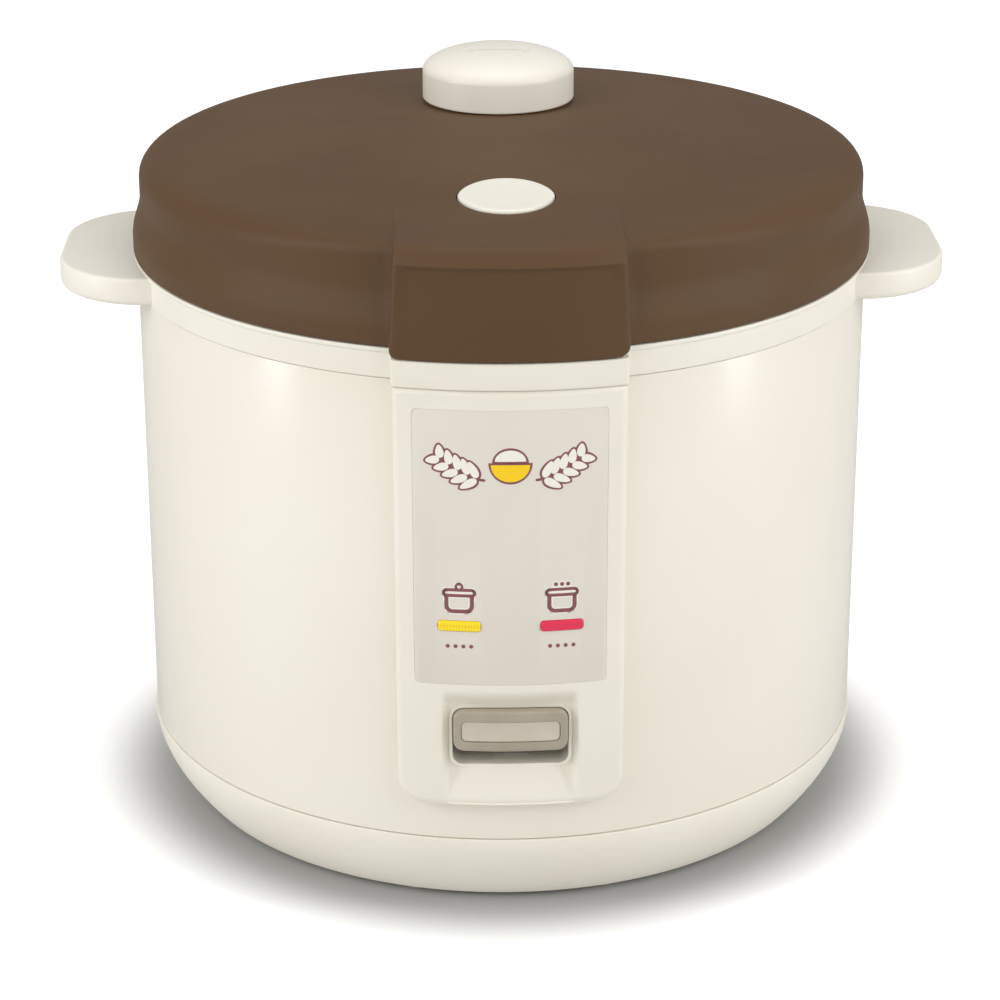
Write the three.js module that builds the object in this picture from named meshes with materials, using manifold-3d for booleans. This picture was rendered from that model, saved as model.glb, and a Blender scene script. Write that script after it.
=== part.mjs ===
// A jar-type electric rice cooker for about ten cups: a round cream body with two ear handles,
// a hinged brown lid with a steam vent and a push button, and a cook lever in the front panel.
// Millimetres, +Z up, front towards -Y. The origin is on the table under the centre of the body.
import * as THREE from "three";
import { mergeVertices } from "three/addons/utils/BufferGeometryUtils.js";
import Module from "manifold-3d";

const wasm = await Module();
wasm.setup();

// Driving dimensions, in millimetres unless a name says otherwise.
const clearance = 0.3; // gap between pieces that touch
const runningGap = 0.5; // gap round pieces that slide or turn
const overrun = 3; // how far a cutter runs past what it cuts
const mergeDistance = 0.0005; // vertices closer than this are one
const roundSteps = 36; // flats round a large turned piece
const middleSteps = 20; // flats round a cap, can or bush
const smallSteps = 10; // flats round a screw, pin or post
const pegSteps = 8; // flats round a thin peg or its hole
const arcSteps = 3; // flats along a rounded corner
const bendSteps = 5; // flats along a large bend
const coilSteps = 8; // steps along one turn of a spring
const coilSides = 4; // flats round a spring's wire
const degree = Math.PI / 180;
const rightAngle = 90 * degree;
const halfTurn = 180 * degree;
const fullTurn = 360 * degree;

const pot = { radius: 110, height: 138.3, wall: 1.6, cornerRadius: 24, rimWidth: 6.5, rimThickness: 1.6 };
const liner = { potGap: 3, wall: 0.8, flangeWidth: 5.2, aboveChassis: 7.8, floorWidth: 25.8, cornerDrop: 6 };
const shell = { jacketGap: 15.7, wall: 1 };
const foot = {
  radius: 6.5, height: 2, studRadius: 2.5, studHeight: 1.9, inset: 22, edge: 0.5,
  frontAngle: 17 * degree, rearAngle: 45 * degree,
};
const base = {
  height: 27, curveHeight: 25, curveInset: 13, curvePowerShare: 1.7, wall: 2.5, floor: 2.5, floorWidth: 45,
  spigotHeight: 7, spigotWall: 2,
};
const pillar = { radius: 5, inset: 34, turn: 67 * degree, count: 4 };
const screw = { shankRadius: 1.7, headRadius: 3.6, headHeight: 2, headInset: 0.6, standOut: 1.6 };
const bottomPlate = { lap: 4, thickness: 1.2, slots: 12, slotWidth: 3, slotInner: 34, rim: 16 };
const chassis = { height: 39, thickness: 1.2, linerInset: 11.8 };
const plate = {
  potInset: 26, thickness: 11, hole: 21, edgeDrop: 3, edgeWidth: 6, postRadius: 4, postHeight: 13.8,
  postInset: 8, posts: 3, grooveDepth: 4,
};
const element = {
  plateInset: 24, tubeRadius: 3.6, openAngle: 60 * degree, bend: 6, legLength: 2, sides: 8, steps: 36,
  arcPoints: 24,
};
const band = { thickness: 1.2, height: 25, above: 45 };
const fuse = { radius: 2.5, length: 16, inset: 21.5, back: 22, clipWidth: 6, clipSheet: 0.8, clipFoot: 4 };

const ring = {
  proud: 0.5, height: 10.5, lip: 2.4, topThickness: 2.4, spigotHeight: 9, spigotWall: 2.2, edge: 0.8,
  bulge: 5.5, bulgeDrop: 1.1, bulgeStep: 2.2, bulgeHalfWidth: 38.6,
};
const ear = { past: 26, halfWidth: 44.8, ahead: 2.7, thickness: 10, cornerRadius: 32, rootDepth: 19 };
const panel = {
  halfWidth: 38.2, height: 148.3, proud: 5.5, wall: 2.2, cornerRadius: 9, windowHalfWidth: 28, windowFoot: 12,
};
const label = { halfWidth: 32, below: 6.4, aboveKey: 10.1, thickness: 0.6, cornerRadius: 2.2 };
const lamp = {
  across: 17, aboveLabelFoot: 21.3, width: 14.3, height: 3.7, cornerRadius: 1.2, proud: 0.5, flange: 1.2,
  flangeThickness: 1.2, bulbRadius: 2.5, bulbLength: 5.6, boardHalfWidth: 25, boardHeight: 20,
  boardThickness: 1.4, boardRise: 2, pegRadius: 2.4, pegTipRadius: 1.2, pegAcross: 21, pegBelowEdge: 3,
  pegOut: 1, pegRoot: 1,
};
const key = {
  halfWidth: 19.3, height: 14.6, depth: 11, above: 20.1, cornerRadius: 3.4, proud: 3.5,
  insertHalfWidth: 16.6, insertHeight: 7.2, insertDepth: 1.1, insertSink: 0.2, insertCorner: 1.8,
  tongueDepth: 5,
};
const scoop = { depth: 3.5, halfWidth: 22, rampAbove: 7.6, rampBelow: 12.3, wall: 1, slotGap: 0.6 };
const lever = {
  turn: 4 * degree, pivotBack: 75, armThickness: 4, halfWidth: 6, legThickness: 3, legGap: 5.5,
  neckHeight: 6, past: 4, drop: 10, bossRadius: 4.4,
};
const bracket = { sheet: 1.2, earHalfLength: 6, earDrop: 17, sideGap: 1.2 };
const pivotPin = { radius: 2, past: 2.4 };
const leverSpring = { radius: 3.5, wire: 0.45, turns: 4, ahead: 36 };
const microSwitch = {
  halfWidth: 5, length: 18, height: 7.2, plungerRadius: 1.5, plungerIn: 2.4, holeDepth: 4, ahead: 16.2,
};

const sensor = { radius: 19, cap: 1.5, canRadius: 14.2, canWall: 1.2, travel: 2, tail: 3 };
const ferrite = { thickness: 2.9 };
const magnet = { height: 8, rodRadius: 1.6, rodInset: 2 };
const sensorSpring = { wire: 0.6, turns: 5, side: 2.8 };

const inlet = {
  halfWidth: 16, height: 24, flangeWidth: 4, flangeThickness: 2.5, wall: 4, depth: 14.5, standOut: 5,
  above: 23, backWall: 3, pinAcross: 7, pinRise: 2, pinWidth: 2, pinHeight: 4, pinShort: 2, tail: 2.2,
  corner: 3,
};
const lead = { radius: 1.3, sides: 6, inset: 13.5, aboveChassis: 4, bend: 4.6, steps: 16 };

const lid = {
  overhang: 0.8, seat: 0.5, skirtHeight: 33.5, topInset: 3, flareBottom: 7, flareTop: 16, edgeRound: 5,
  crown: 5.2, wall: 2.5, domeSteps: 4,
};
const flap = {
  halfWidthTop: 37.2, halfWidthFoot: 39, proud: 5.2, drop: 2.3, cornerRadius: 3, edgeRound: 3,
  rootDepth: 40.8, topFall: 0.6, insideDepth: 25,
};
const gasket = { width: 4.7, height: 4.3, lipThickness: 1.4, topThickness: 1.3, grip: 2.3 };
const innerLid = { thickness: 1, dish: 3, dishInset: 15.8, dishSlope: 5, ventRadius: 5 };
const lidLiner = {
  floor: 2, collarWall: 2, collarDrop: 4, pinRadius: 3, pinPast: 3, headRadius: 4.2, headHeight: 1.4,
};
const grommet = { wall: 2.9, flange: 2.8, flangeThickness: 1.7 };
const vent = {
  inset: 82.8, radius: 27.9, sideHeight: 10.5, crown: 8.2, wall: 2, seatRadius: 27,
  seatRise: 0.7, wellRadius: 14, cupWall: 1.8, cupDepth: 7, cupFloor: 1.5, cupHole: 4, cupRise: 5.6,
  collarWall: 1.6, collarHeight: 4, tubeRadius: 8.5, tubeWall: 2.3, tubeFlange: 3.5, tubeFlangeThickness: 1.5,
  slotWidth: 1.2, slotHalfLength: 12, slotAhead: 3.6,
};
const button = {
  inset: 52.8, halfWidth: 16.2, halfLength: 17.2, flange: 1.4, flangeThickness: 1.3, proud: 1.1,
  stemRadius: 3, below: 1.9, sides: 24,
};
const latch = {
  pivotInset: 6.3, pivotRise: 9.5, armThickness: 3, halfWidth: 6, bossRadius: 3.4, legThickness: 2.2,
  noseReach: 1.6, noseHeight: 3, hookDepth: 8.3, armPast: 5, pinRadius: 1.5, postWall: 2.6,
  postHalfLength: 3.5, holeHalfWidth: 8, holeFront: 2.6, holeBack: 1.2,
};
const latchSpring = { radius: 3.6, wire: 0.5, turns: 4 };
const hinge = {
  out: 6, rise: 4.5, knuckleRadius: 4.5, pinRadius: 2, lidHalfWidth: 21.5, springHalfWidth: 8,
  bodyWidth: 9, blockBack: 2, blockFront: 3, leafFront: 9, leafDrop: 2, pinPast: 1.5,
  springWireRadius: 0.35, springTurns: 5,
};

// Radii that follow from the pot outwards.
const potInnerRadius = pot.radius - pot.wall;
const rimRadius = pot.radius + pot.rimWidth;
const linerInnerRadius = pot.radius + liner.potGap;
const linerRadius = linerInnerRadius + liner.wall;
const flangeRadius = linerRadius + liner.flangeWidth;
const shellInnerRadius = linerRadius + shell.jacketGap;
const shellRadius = shellInnerRadius + shell.wall;
const spigotRadius = shellInnerRadius - clearance;
const bodyRadius = shellRadius + ring.proud;
const panelInnerRadius = shellRadius + clearance;
const panelRadius = shellRadius + panel.proud;
const bulgeRadius = bodyRadius + ring.bulge;
const scoopRadius = panelRadius - scoop.depth;
const keyFaceRadius = scoopRadius + key.proud;
const keyBackRadius = keyFaceRadius - key.depth;
const lidRadius = bodyRadius + lid.overhang;
const lidTopRadius = lidRadius - lid.topInset;
const flapRadius = lidRadius + flap.proud;
const linerOpening = linerRadius - liner.floorWidth;
const plateRadius = pot.radius - plate.potInset;
const elementRadius = plateRadius - element.plateInset;
const chassisRadius = linerRadius - chassis.linerInset;
const baseOpening = bodyRadius - base.floorWidth;
const pillarPlaceRadius = bodyRadius - pillar.inset;
const footPlaceRadius = bodyRadius - foot.inset;
const leadBack = shellInnerRadius - lead.inset;
const earReach = bodyRadius + ear.past;
const earRoot = bodyRadius - ear.rootDepth;
const ventBack = lidRadius - vent.inset;
const buttonFront = lidRadius - button.inset;
const flapRootBack = lidTopRadius - flap.rootDepth;
const flapInsideBack = flapRadius - flap.insideDepth;

// Heights that follow from the table upwards.
const baseFoot = foot.height;
const seamHeight = baseFoot + base.height;
const baseFloorTop = baseFoot + base.floor;
const chassisFoot = baseFoot + chassis.height;
const chassisTop = chassisFoot + chassis.thickness;
const plateFoot = chassisTop + plate.postHeight;
const plateTop = plateFoot + plate.thickness;
const potFoot = plateTop + clearance;
const rimTop = potFoot + pot.height;
const rimFoot = rimTop - pot.rimThickness;
const flangeTop = rimFoot - clearance;
const flangeFoot = flangeTop - liner.wall;
const ledgeTop = flangeFoot - clearance;
const ringTop = ledgeTop + ring.lip;
const ringSeam = ringTop - ring.height;
const linerFloor = chassisTop + liner.aboveChassis;
const lidFoot = ringTop + lid.seat;
const creaseHeight = lidFoot + lid.skirtHeight;
const gasketFoot = rimTop + clearance;
const gasketTop = gasketFoot + gasket.height;
const innerLidRim = gasketFoot + gasket.lipThickness + clearance;
const lidPlateFoot = gasketTop + clearance;
const lidPlateTop = lidPlateFoot + lidLiner.floor;
const panelTop = ringSeam - ring.bulgeDrop - clearance;
const panelFoot = panelTop - panel.height;
const labelTop = panelTop - label.below;
const keyFoot = panelFoot + key.above;
const keyTop = keyFoot + key.height;
const labelFoot = keyTop + label.aboveKey;
const lampHeight = labelFoot + lamp.aboveLabelFoot;
const keyHeight = (keyFoot + keyTop) / 2;

// Solids
function solidFrom(geometry) {
  const bare = geometry.index ? geometry.toNonIndexed() : geometry.clone();
  bare.deleteAttribute("normal");
  bare.deleteAttribute("uv");
  const merged = mergeVertices(bare, mergeDistance);
  const corners = merged.index.array;
  const triangles = [];
  for (let i = 0; i < corners.length; i += 3) {
    const [a, b, c] = corners.slice(i, i + 3);
    if (a !== b && b !== c && c !== a) triangles.push(a, b, c);
  }
  const build = (list) => new wasm.Manifold(new wasm.Mesh({
    numProp: 3,
    vertProperties: merged.attributes.position.array,
    triVerts: new Uint32Array(list),
  }));
  const made = build(triangles);
  if (made.volume() >= 0) return made;
  const turnedRound = [];
  for (let i = 0; i < triangles.length; i += 3) {
    turnedRound.push(triangles[i], triangles[i + 2], triangles[i + 1]);
  }
  return build(turnedRound);
}

function geometryFrom(solid) {
  const mesh = solid.getMesh();
  const geometry = new THREE.BufferGeometry();
  geometry.setAttribute("position", new THREE.BufferAttribute(new Float32Array(mesh.vertProperties), 3));
  geometry.setIndex(new THREE.BufferAttribute(new Uint32Array(mesh.triVerts), 1));
  geometry.computeVertexNormals();
  return geometry;
}

// A solid turned about the vertical axis from [radius, height] points, in order round its section.
function turned(points, steps = roundSteps) {
  const onAxis = points[0][0] === 0 && points[points.length - 1][0] === 0;
  const path = onAxis ? points : [...points, points[0]];
  const profile = path.map(([radius, height]) => new THREE.Vector2(radius, height));
  const geometry = new THREE.LatheGeometry(profile, steps);
  geometry.rotateX(rightAngle);
  return solidFrom(geometry);
}

function tube(inner, outer, low, high, steps = roundSteps) {
  return turned([[inner, low], [outer, low], [outer, high], [inner, high]], steps);
}

function rod(radius, low, high, steps = smallSteps) {
  return turned([[0, low], [radius, low], [radius, high], [0, high]], steps);
}

function arcPoints(centreX, centreY, radiusX, radiusY, from, to, steps = arcSteps) {
  return Array.from({ length: steps + 1 }, (_, i) => {
    const angle = from + (to - from) * i / steps;
    return [centreX + radiusX * Math.cos(angle), centreY + radiusY * Math.sin(angle)];
  });
}

function roundedOutline(left, right, low, high, lowRadius, highRadius = lowRadius) {
  const corner = (x, y, radius, from) => radius > 0
    ? arcPoints(x, y, radius, radius, from, from + rightAngle) : [[x, y]];
  return [
    ...corner(right - lowRadius, low + lowRadius, lowRadius, -rightAngle),
    ...corner(right - highRadius, high - highRadius, highRadius, 0),
    ...corner(left + highRadius, high - highRadius, highRadius, rightAngle),
    ...corner(left + lowRadius, low + lowRadius, lowRadius, halfTurn),
  ];
}

// An outline in x and y, drawn upwards.
function upright(outline, low, high) {
  const shape = new THREE.Shape(outline.map(([x, y]) => new THREE.Vector2(x, y)));
  const geometry = new THREE.ExtrudeGeometry(shape, { depth: high - low, bevelEnabled: false, steps: 1 });
  geometry.translate(0, 0, low);
  return solidFrom(geometry);
}

// An outline in x and z, drawn from one y to another.
function across(outline, front, back) {
  const shape = new THREE.Shape(outline.map(([x, z]) => new THREE.Vector2(x, z)));
  const geometry = new THREE.ExtrudeGeometry(shape, { depth: back - front, bevelEnabled: false, steps: 1 });
  geometry.rotateX(rightAngle);
  geometry.translate(0, back, 0);
  return solidFrom(geometry);
}

// An outline in y and z, drawn from one x to another.
function sideways(outline, left, right) {
  const shape = new THREE.Shape(outline.map(([y, z]) => new THREE.Vector2(y, z)));
  const geometry = new THREE.ExtrudeGeometry(shape, { depth: right - left, bevelEnabled: false, steps: 1 });
  geometry.rotateX(rightAngle);
  geometry.rotateZ(rightAngle);
  geometry.translate(left, 0, 0);
  return solidFrom(geometry);
}

function block(left, right, front, back, low, high) {
  return upright([[left, front], [right, front], [right, back], [left, back]], low, high);
}

function circle(x, y, radius, steps) {
  return arcPoints(x, y, radius, radius, 0, fullTurn, steps).slice(0, -1);
}

// A rod along x.
function crossRod(radius, left, right, y, z, steps = smallSteps) {
  return sideways(circle(y, z, radius, steps), left, right);
}

// A rod along y.
function foreRod(radius, front, back, x, z, steps = smallSteps) {
  return across(circle(x, z, radius, steps), front, back);
}

// A slab that follows the round body, inside an outline in x and z seen from the front.
function frontSlab(inner, outer, outline) {
  const heights = outline.map(([, z]) => z);
  const around = tube(inner, outer, Math.min(...heights) - overrun, Math.max(...heights) + overrun);
  return around.intersect(across(outline, -outer - overrun, 0));
}

// A rod swept along a curve.
function swept(points, radius, sides, steps) {
  const curve = new THREE.CatmullRomCurve3(points.map((p) => new THREE.Vector3(...p)));
  const section = new THREE.Shape(circle(0, 0, radius, sides).map(([x, y]) => new THREE.Vector2(x, y)));
  return solidFrom(new THREE.ExtrudeGeometry(section, { steps, extrudePath: curve }));
}

// A coil spring about the vertical axis between two heights; wire is the radius of its wire.
function coil(radius, wire, turns, low, high) {
  const count = turns * coilSteps;
  const points = Array.from({ length: count + 1 }, (_, i) => {
    const angle = fullTurn * i / coilSteps;
    const height = low + wire + (high - low - 2 * wire) * i / count;
    return [radius * Math.cos(angle), radius * Math.sin(angle), height];
  });
  return swept(points, wire, coilSides, count);
}

// The assembly, and the finishes of its pieces
const group = new THREE.Group();
const finish = {
  coatedSteel: { color: 0xece6d8, roughness: 0.3, metalness: 0.1 },
  creamPlastic: { color: 0xf1ebde, roughness: 0.32, metalness: 0 },
  labelFilm: { color: 0xddd6ca, roughness: 0.45, metalness: 0 },
  brownPlastic: { color: 0x5c4732, roughness: 0.4, metalness: 0 },
  keyPlastic: { color: 0xa09786, roughness: 0.42, metalness: 0 },
  insertPlastic: { color: 0xbfb6a6, roughness: 0.42, metalness: 0 },
  warmLens: { color: 0xffe100, roughness: 0.2, metalness: 0 },
  cookLens: { color: 0xe8325f, roughness: 0.2, metalness: 0 },
  aluminium: { color: 0xc4c6c8, roughness: 0.35, metalness: 1 },
  coatedAluminium: { color: 0x4c4d4f, roughness: 0.4, metalness: 0.2 },
  steel: { color: 0xb4b6b8, roughness: 0.3, metalness: 1 },
  brass: { color: 0xc9a45a, roughness: 0.3, metalness: 1 },
  silicone: { color: 0xe8e6e0, roughness: 0.6, metalness: 0 },
  rubber: { color: 0x4a4846, roughness: 0.8, metalness: 0 },
  board: { color: 0xb59a5c, roughness: 0.6, metalness: 0 },
  darkPlastic: { color: 0x2b2a29, roughness: 0.5, metalness: 0 },
  glass: { color: 0xdfe6e6, roughness: 0.05, metalness: 0 },
  ceramic: { color: 0x55504c, roughness: 0.7, metalness: 0 },
  sleeve: { color: 0xd8d4c6, roughness: 0.7, metalness: 0 },
};
const materials = Object.fromEntries(
  Object.entries(finish).map(([name, look]) => [name, new THREE.MeshStandardMaterial(look)]),
);

function addPart(name, solid, material, [x, y, z] = [0, 0, 0]) {
  const mesh = new THREE.Mesh(geometryFrom(solid), materials[material]);
  mesh.name = name;
  mesh.position.set(x, y, z);
  group.add(mesh);
}

// A place on the plan, by its distance from the axis and its angle from the front.
function onPlan(radius, angle) {
  return [radius * Math.sin(angle), -radius * Math.cos(angle)];
}

// Base ring, with its screw pillars and the holes for the feet
const curveTop = baseFoot + base.curveHeight;
function baseRadiusAt(height) {
  const fall = Math.max(0, (curveTop - height) / base.curveHeight);
  return bodyRadius - base.curveInset * fall ** base.curvePowerShare;
}
const curveShares = [0, 0.2, 0.45, 0.75, 1];
const footPlaces = {
  front_left: -foot.frontAngle, front_right: foot.frontAngle,
  rear_left: foot.rearAngle - halfTurn, rear_right: halfTurn - foot.rearAngle,
};
const pillarPlaces = Array.from({ length: pillar.count }, (_, i) => (
  onPlan(pillarPlaceRadius, pillar.turn + i * fullTurn / pillar.count)
));
const outerCurve = curveShares.map((share) => {
  const height = baseFoot + share * base.curveHeight;
  return [baseRadiusAt(height), height];
});
const innerCurve = curveShares.slice(1).map((share) => {
  const height = baseFloorTop + share * (seamHeight - baseFloorTop - base.wall);
  return [baseRadiusAt(height) - base.wall, height];
}).reverse();
const spigotInner = spigotRadius - base.spigotWall;
let baseRing = turned([
  [baseOpening, baseFoot], ...outerCurve, [bodyRadius, seamHeight], [spigotRadius, seamHeight],
  [spigotRadius, seamHeight + base.spigotHeight], [spigotInner, seamHeight + base.spigotHeight],
  [spigotInner, seamHeight], ...innerCurve,
  [baseRadiusAt(baseFloorTop) - base.wall, baseFloorTop], [baseOpening, baseFloorTop],
]);
for (const [x, y] of pillarPlaces) {
  baseRing = baseRing.add(rod(pillar.radius, baseFoot, chassisFoot - clearance).translate([x, y, 0]));
}
const headHoleTop = baseFoot + screw.headInset + screw.headHeight + clearance;
for (const [x, y] of pillarPlaces) {
  const hole = rod(screw.shankRadius + clearance, baseFoot - overrun, chassisFoot + overrun);
  const headHole = rod(screw.headRadius + clearance, baseFoot - overrun, headHoleTop);
  baseRing = baseRing.subtract(hole.add(headHole).translate([x, y, 0]));
}
for (const angle of Object.values(footPlaces)) {
  const [x, y] = onPlan(footPlaceRadius, angle);
  const hole = rod(foot.studRadius + clearance, baseFoot - overrun, baseFloorTop + overrun);
  baseRing = baseRing.subtract(hole.translate([x, y, 0]));
}
addPart("base_ring", baseRing, "creamPlastic");

// Feet and the screws that hold the chassis plate
const footTop = foot.height - clearance;
for (const [name, angle] of Object.entries(footPlaces)) {
  const rubberFoot = turned([
    [0, 0], [foot.radius - foot.edge, 0], [foot.radius, foot.edge], [foot.radius, footTop],
    [foot.studRadius, footTop], [foot.studRadius, footTop + foot.studHeight], [0, footTop + foot.studHeight],
  ], smallSteps);
  addPart(`foot_${name}`, rubberFoot, "rubber", [...onPlan(footPlaceRadius, angle), 0]);
}
const screwFoot = baseFoot + screw.headInset;
pillarPlaces.forEach(([x, y], i) => {
  const neck = screw.headHeight;
  const length = chassisTop + screw.standOut - screwFoot;
  const part = turned([
    [0, 0], [screw.headRadius, 0], [screw.headRadius, neck], [screw.shankRadius, neck],
    [screw.shankRadius, length], [0, length],
  ], smallSteps);
  addPart(`base_screw_${i + 1}`, part, "steel", [x, y, screwFoot]);
});

// Bottom plate with its air slots
const bottomPlateFoot = baseFloorTop + clearance;
const bottomPlateTop = bottomPlateFoot + bottomPlate.thickness;
let bottomPlateSolid = rod(baseOpening + bottomPlate.lap, bottomPlateFoot, bottomPlateTop, roundSteps);
for (let i = 0; i < bottomPlate.slots; i += 1) {
  const half = bottomPlate.slotWidth / 2;
  const slot = block(
    -half, half, bottomPlate.slotInner, baseOpening + bottomPlate.lap - bottomPlate.rim,
    bottomPlateFoot - overrun, bottomPlateTop + overrun,
  );
  const turn = (i + 1 / 2) * fullTurn / bottomPlate.slots / degree;
  bottomPlateSolid = bottomPlateSolid.subtract(slot.rotate([0, 0, turn]));
}
addPart("bottom_plate", bottomPlateSolid, "steel");

// Chassis plate under the heating plate
let chassisPlate = tube(magnet.rodRadius + runningGap, chassisRadius, chassisFoot, chassisTop);
for (const [x, y] of pillarPlaces) {
  const hole = rod(screw.shankRadius + clearance, chassisFoot - overrun, chassisTop + overrun);
  chassisPlate = chassisPlate.subtract(hole.translate([x, y, 0]));
}
addPart("chassis_plate", chassisPlate, "steel");

// Outer shell, open behind the front panel and at the inlet
const inletFoot = seamHeight + inlet.above;
const inletTop = inletFoot + inlet.height;
const boardHeight = lampHeight + lamp.boardRise;
const boardTop = boardHeight + lamp.boardHeight / 2;
const frontWindow = roundedOutline(
  -panel.windowHalfWidth, panel.windowHalfWidth, panelFoot + panel.windowFoot, boardTop + runningGap, 0,
);
const inletHole = roundedOutline(
  -inlet.halfWidth - clearance, inlet.halfWidth + clearance, inletFoot - clearance, inletTop + clearance, 0,
);
const outerShell = tube(shellInnerRadius, shellRadius, seamHeight + clearance, ringSeam - clearance)
  .subtract(across(frontWindow, -shellRadius - overrun, 0))
  .subtract(across(inletHole, 0, shellRadius + overrun));
addPart("outer_shell", outerShell, "coatedSteel");

// Chamber liner and the keep-warm heater round it
const chamberLiner = turned([
  [linerOpening, linerFloor], [linerRadius - liner.cornerDrop, linerFloor],
  [linerRadius, linerFloor + liner.cornerDrop], [linerRadius, flangeFoot], [flangeRadius, flangeFoot],
  [flangeRadius, flangeTop], [linerInnerRadius, flangeTop], [linerInnerRadius, linerFloor + liner.cornerDrop],
  [linerInnerRadius - liner.cornerDrop, linerFloor + liner.wall],
  [linerOpening, linerFloor + liner.wall],
]);
addPart("chamber_liner", chamberLiner, "steel");
const bandInner = linerRadius + clearance;
const bandFoot = linerFloor + band.above;
const warmBand = tube(bandInner, bandInner + band.thickness, bandFoot, bandFoot + band.height);
addPart("keep_warm_band", warmBand, "aluminium");

// Heating plate on its posts, with the element in a groove below
const grooveHalf = element.tubeRadius + clearance;
const grooveTop = plateFoot + plate.grooveDepth;
let heatingPlate = turned([
  [plate.hole, plateFoot], [elementRadius - grooveHalf, plateFoot],
  [elementRadius - grooveHalf, grooveTop], [elementRadius + grooveHalf, grooveTop],
  [elementRadius + grooveHalf, plateFoot], [plateRadius, plateFoot],
  [plateRadius, plateTop - plate.edgeDrop], [plateRadius - plate.edgeWidth, plateTop],
  [plate.hole, plateTop],
]);
for (let i = 0; i < plate.posts; i += 1) {
  const [x, y] = onPlan(plateRadius - plate.postInset, i * fullTurn / plate.posts);
  const post = rod(plate.postRadius, chassisTop + clearance, plateFoot + clearance);
  heatingPlate = heatingPlate.add(post.translate([x, y, 0]));
}
addPart("heating_plate", heatingPlate, "aluminium");
const elementHeight = grooveTop - clearance - element.tubeRadius;
const arcStart = rightAngle + element.openAngle / 2;
const elementArc = arcPoints(
  0, 0, elementRadius, elementRadius, arcStart, arcStart + fullTurn - element.openAngle,
  element.arcPoints,
).map(([x, y]) => [x, y, elementHeight]);
// Each end of the tube runs on along its tangent, bends down and ends in a short leg.
function elementLeg(side) {
  const angle = rightAngle - side * element.openAngle / 2;
  const [endX, endY] = [Math.cos(angle) * elementRadius, Math.sin(angle) * elementRadius];
  const [tangentX, tangentY] = [-Math.sin(angle) * side, Math.cos(angle) * side];
  const bendFoot = elementHeight - element.bend;
  const bend = arcPoints(0, 0, element.bend, element.bend, rightAngle, 0).slice(1)
    .map(([run, rise]) => [endX + tangentX * run, endY + tangentY * run, bendFoot + rise]);
  const [lastX, lastY, lastZ] = bend[bend.length - 1];
  return [...bend, [lastX, lastY, lastZ - element.legLength]];
}
const elementPath = [...elementLeg(-1).reverse(), ...elementArc, ...elementLeg(1)];
addPart("heating_element", swept(elementPath, element.tubeRadius, element.sides, element.steps), "steel");

// Thermal fuse in its clip on the chassis plate
const fuseHeight = chassisTop + clearance + fuse.radius + fuse.clipSheet + clearance;
const fusePlace = [elementRadius - fuse.inset, fuse.back, fuseHeight];
addPart("thermal_fuse", crossRod(fuse.radius, -fuse.length / 2, fuse.length / 2, 0, 0), "ceramic", fusePlace);
const clipInner = fuse.radius + clearance;
const clipOuter = clipInner + fuse.clipSheet;
const clipFootTop = chassisTop + clearance + fuse.clipSheet - fuseHeight;
const clipOutline = [
  [-clipOuter - fuse.clipFoot, clipFootTop - fuse.clipSheet], [-clipInner, clipFootTop - fuse.clipSheet],
  ...arcPoints(0, 0, clipInner, clipInner, halfTurn, 0, bendSteps),
  [clipInner, clipFootTop - fuse.clipSheet], [clipOuter + fuse.clipFoot, clipFootTop - fuse.clipSheet],
  [clipOuter + fuse.clipFoot, clipFootTop], [clipOuter, clipFootTop],
  ...arcPoints(0, 0, clipOuter, clipOuter, 0, halfTurn, bendSteps),
  [-clipOuter, clipFootTop], [-clipOuter - fuse.clipFoot, clipFootTop],
];
addPart("fuse_clip", sideways(clipOutline, -fuse.clipWidth / 2, fuse.clipWidth / 2), "steel", fusePlace);

// Sensor in the middle of the heating plate, with the ferrite and the magnet it takes hold of
const leverBack = -(keyFaceRadius - lever.pivotBack);
const magnetLift = -leverBack * Math.sin(lever.turn);
const capFoot = plateTop - sensor.cap;
const canInner = sensor.canRadius - sensor.canWall;
const ferriteFoot = capFoot - clearance - ferrite.thickness;
const magnetTop = ferriteFoot - clearance - magnetLift - sensor.travel;
const magnetFoot = magnetTop - magnet.height;
const canFoot = magnetFoot - sensor.tail;
const sensorCan = turned([
  [0, capFoot], [canInner, capFoot], [canInner, canFoot], [sensor.canRadius, canFoot],
  [sensor.canRadius, capFoot], [sensor.radius, capFoot], [sensor.radius, plateTop], [0, plateTop],
], middleSteps);
addPart("sensor_can", sensorCan, "aluminium");
const ferriteSolid = rod(canInner - clearance, ferriteFoot, ferriteFoot + ferrite.thickness, middleSteps);
addPart("sensor_ferrite", ferriteSolid, "ceramic");
const leverTop = chassisFoot - lever.drop;
const rodFoot = leverTop + clearance;
const rodTop = magnetFoot + magnet.rodInset;
const rodHole = rod(magnet.rodRadius + clearance, magnetFoot - overrun, rodTop + clearance);
const magnetSolid = rod(canInner - runningGap, magnetFoot, magnetTop, middleSteps).subtract(rodHole);
addPart("magnet", magnetSolid, "ceramic");
addPart("magnet_rod", rod(magnet.rodRadius, rodFoot, rodTop), "brass");
const sensorCoil = coil(
  sensor.canRadius + sensorSpring.side, sensorSpring.wire, sensorSpring.turns,
  chassisTop + clearance, capFoot - clearance,
);
addPart("sensor_spring", sensorCoil, "steel");

// Inner pot
const potCorner = (radius, from, to) => arcPoints(
  pot.radius - pot.cornerRadius, potFoot + pot.cornerRadius, radius, radius, from, to, bendSteps,
);
const innerPot = turned([
  [0, potFoot], ...potCorner(pot.cornerRadius, -rightAngle, 0), [pot.radius, rimFoot], [rimRadius, rimFoot],
  [rimRadius, rimTop], [potInnerRadius, rimTop],
  ...potCorner(pot.cornerRadius - pot.wall, 0, -rightAngle), [0, potFoot + pot.wall],
]);
addPart("inner_pot", innerPot, "coatedAluminium");

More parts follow.
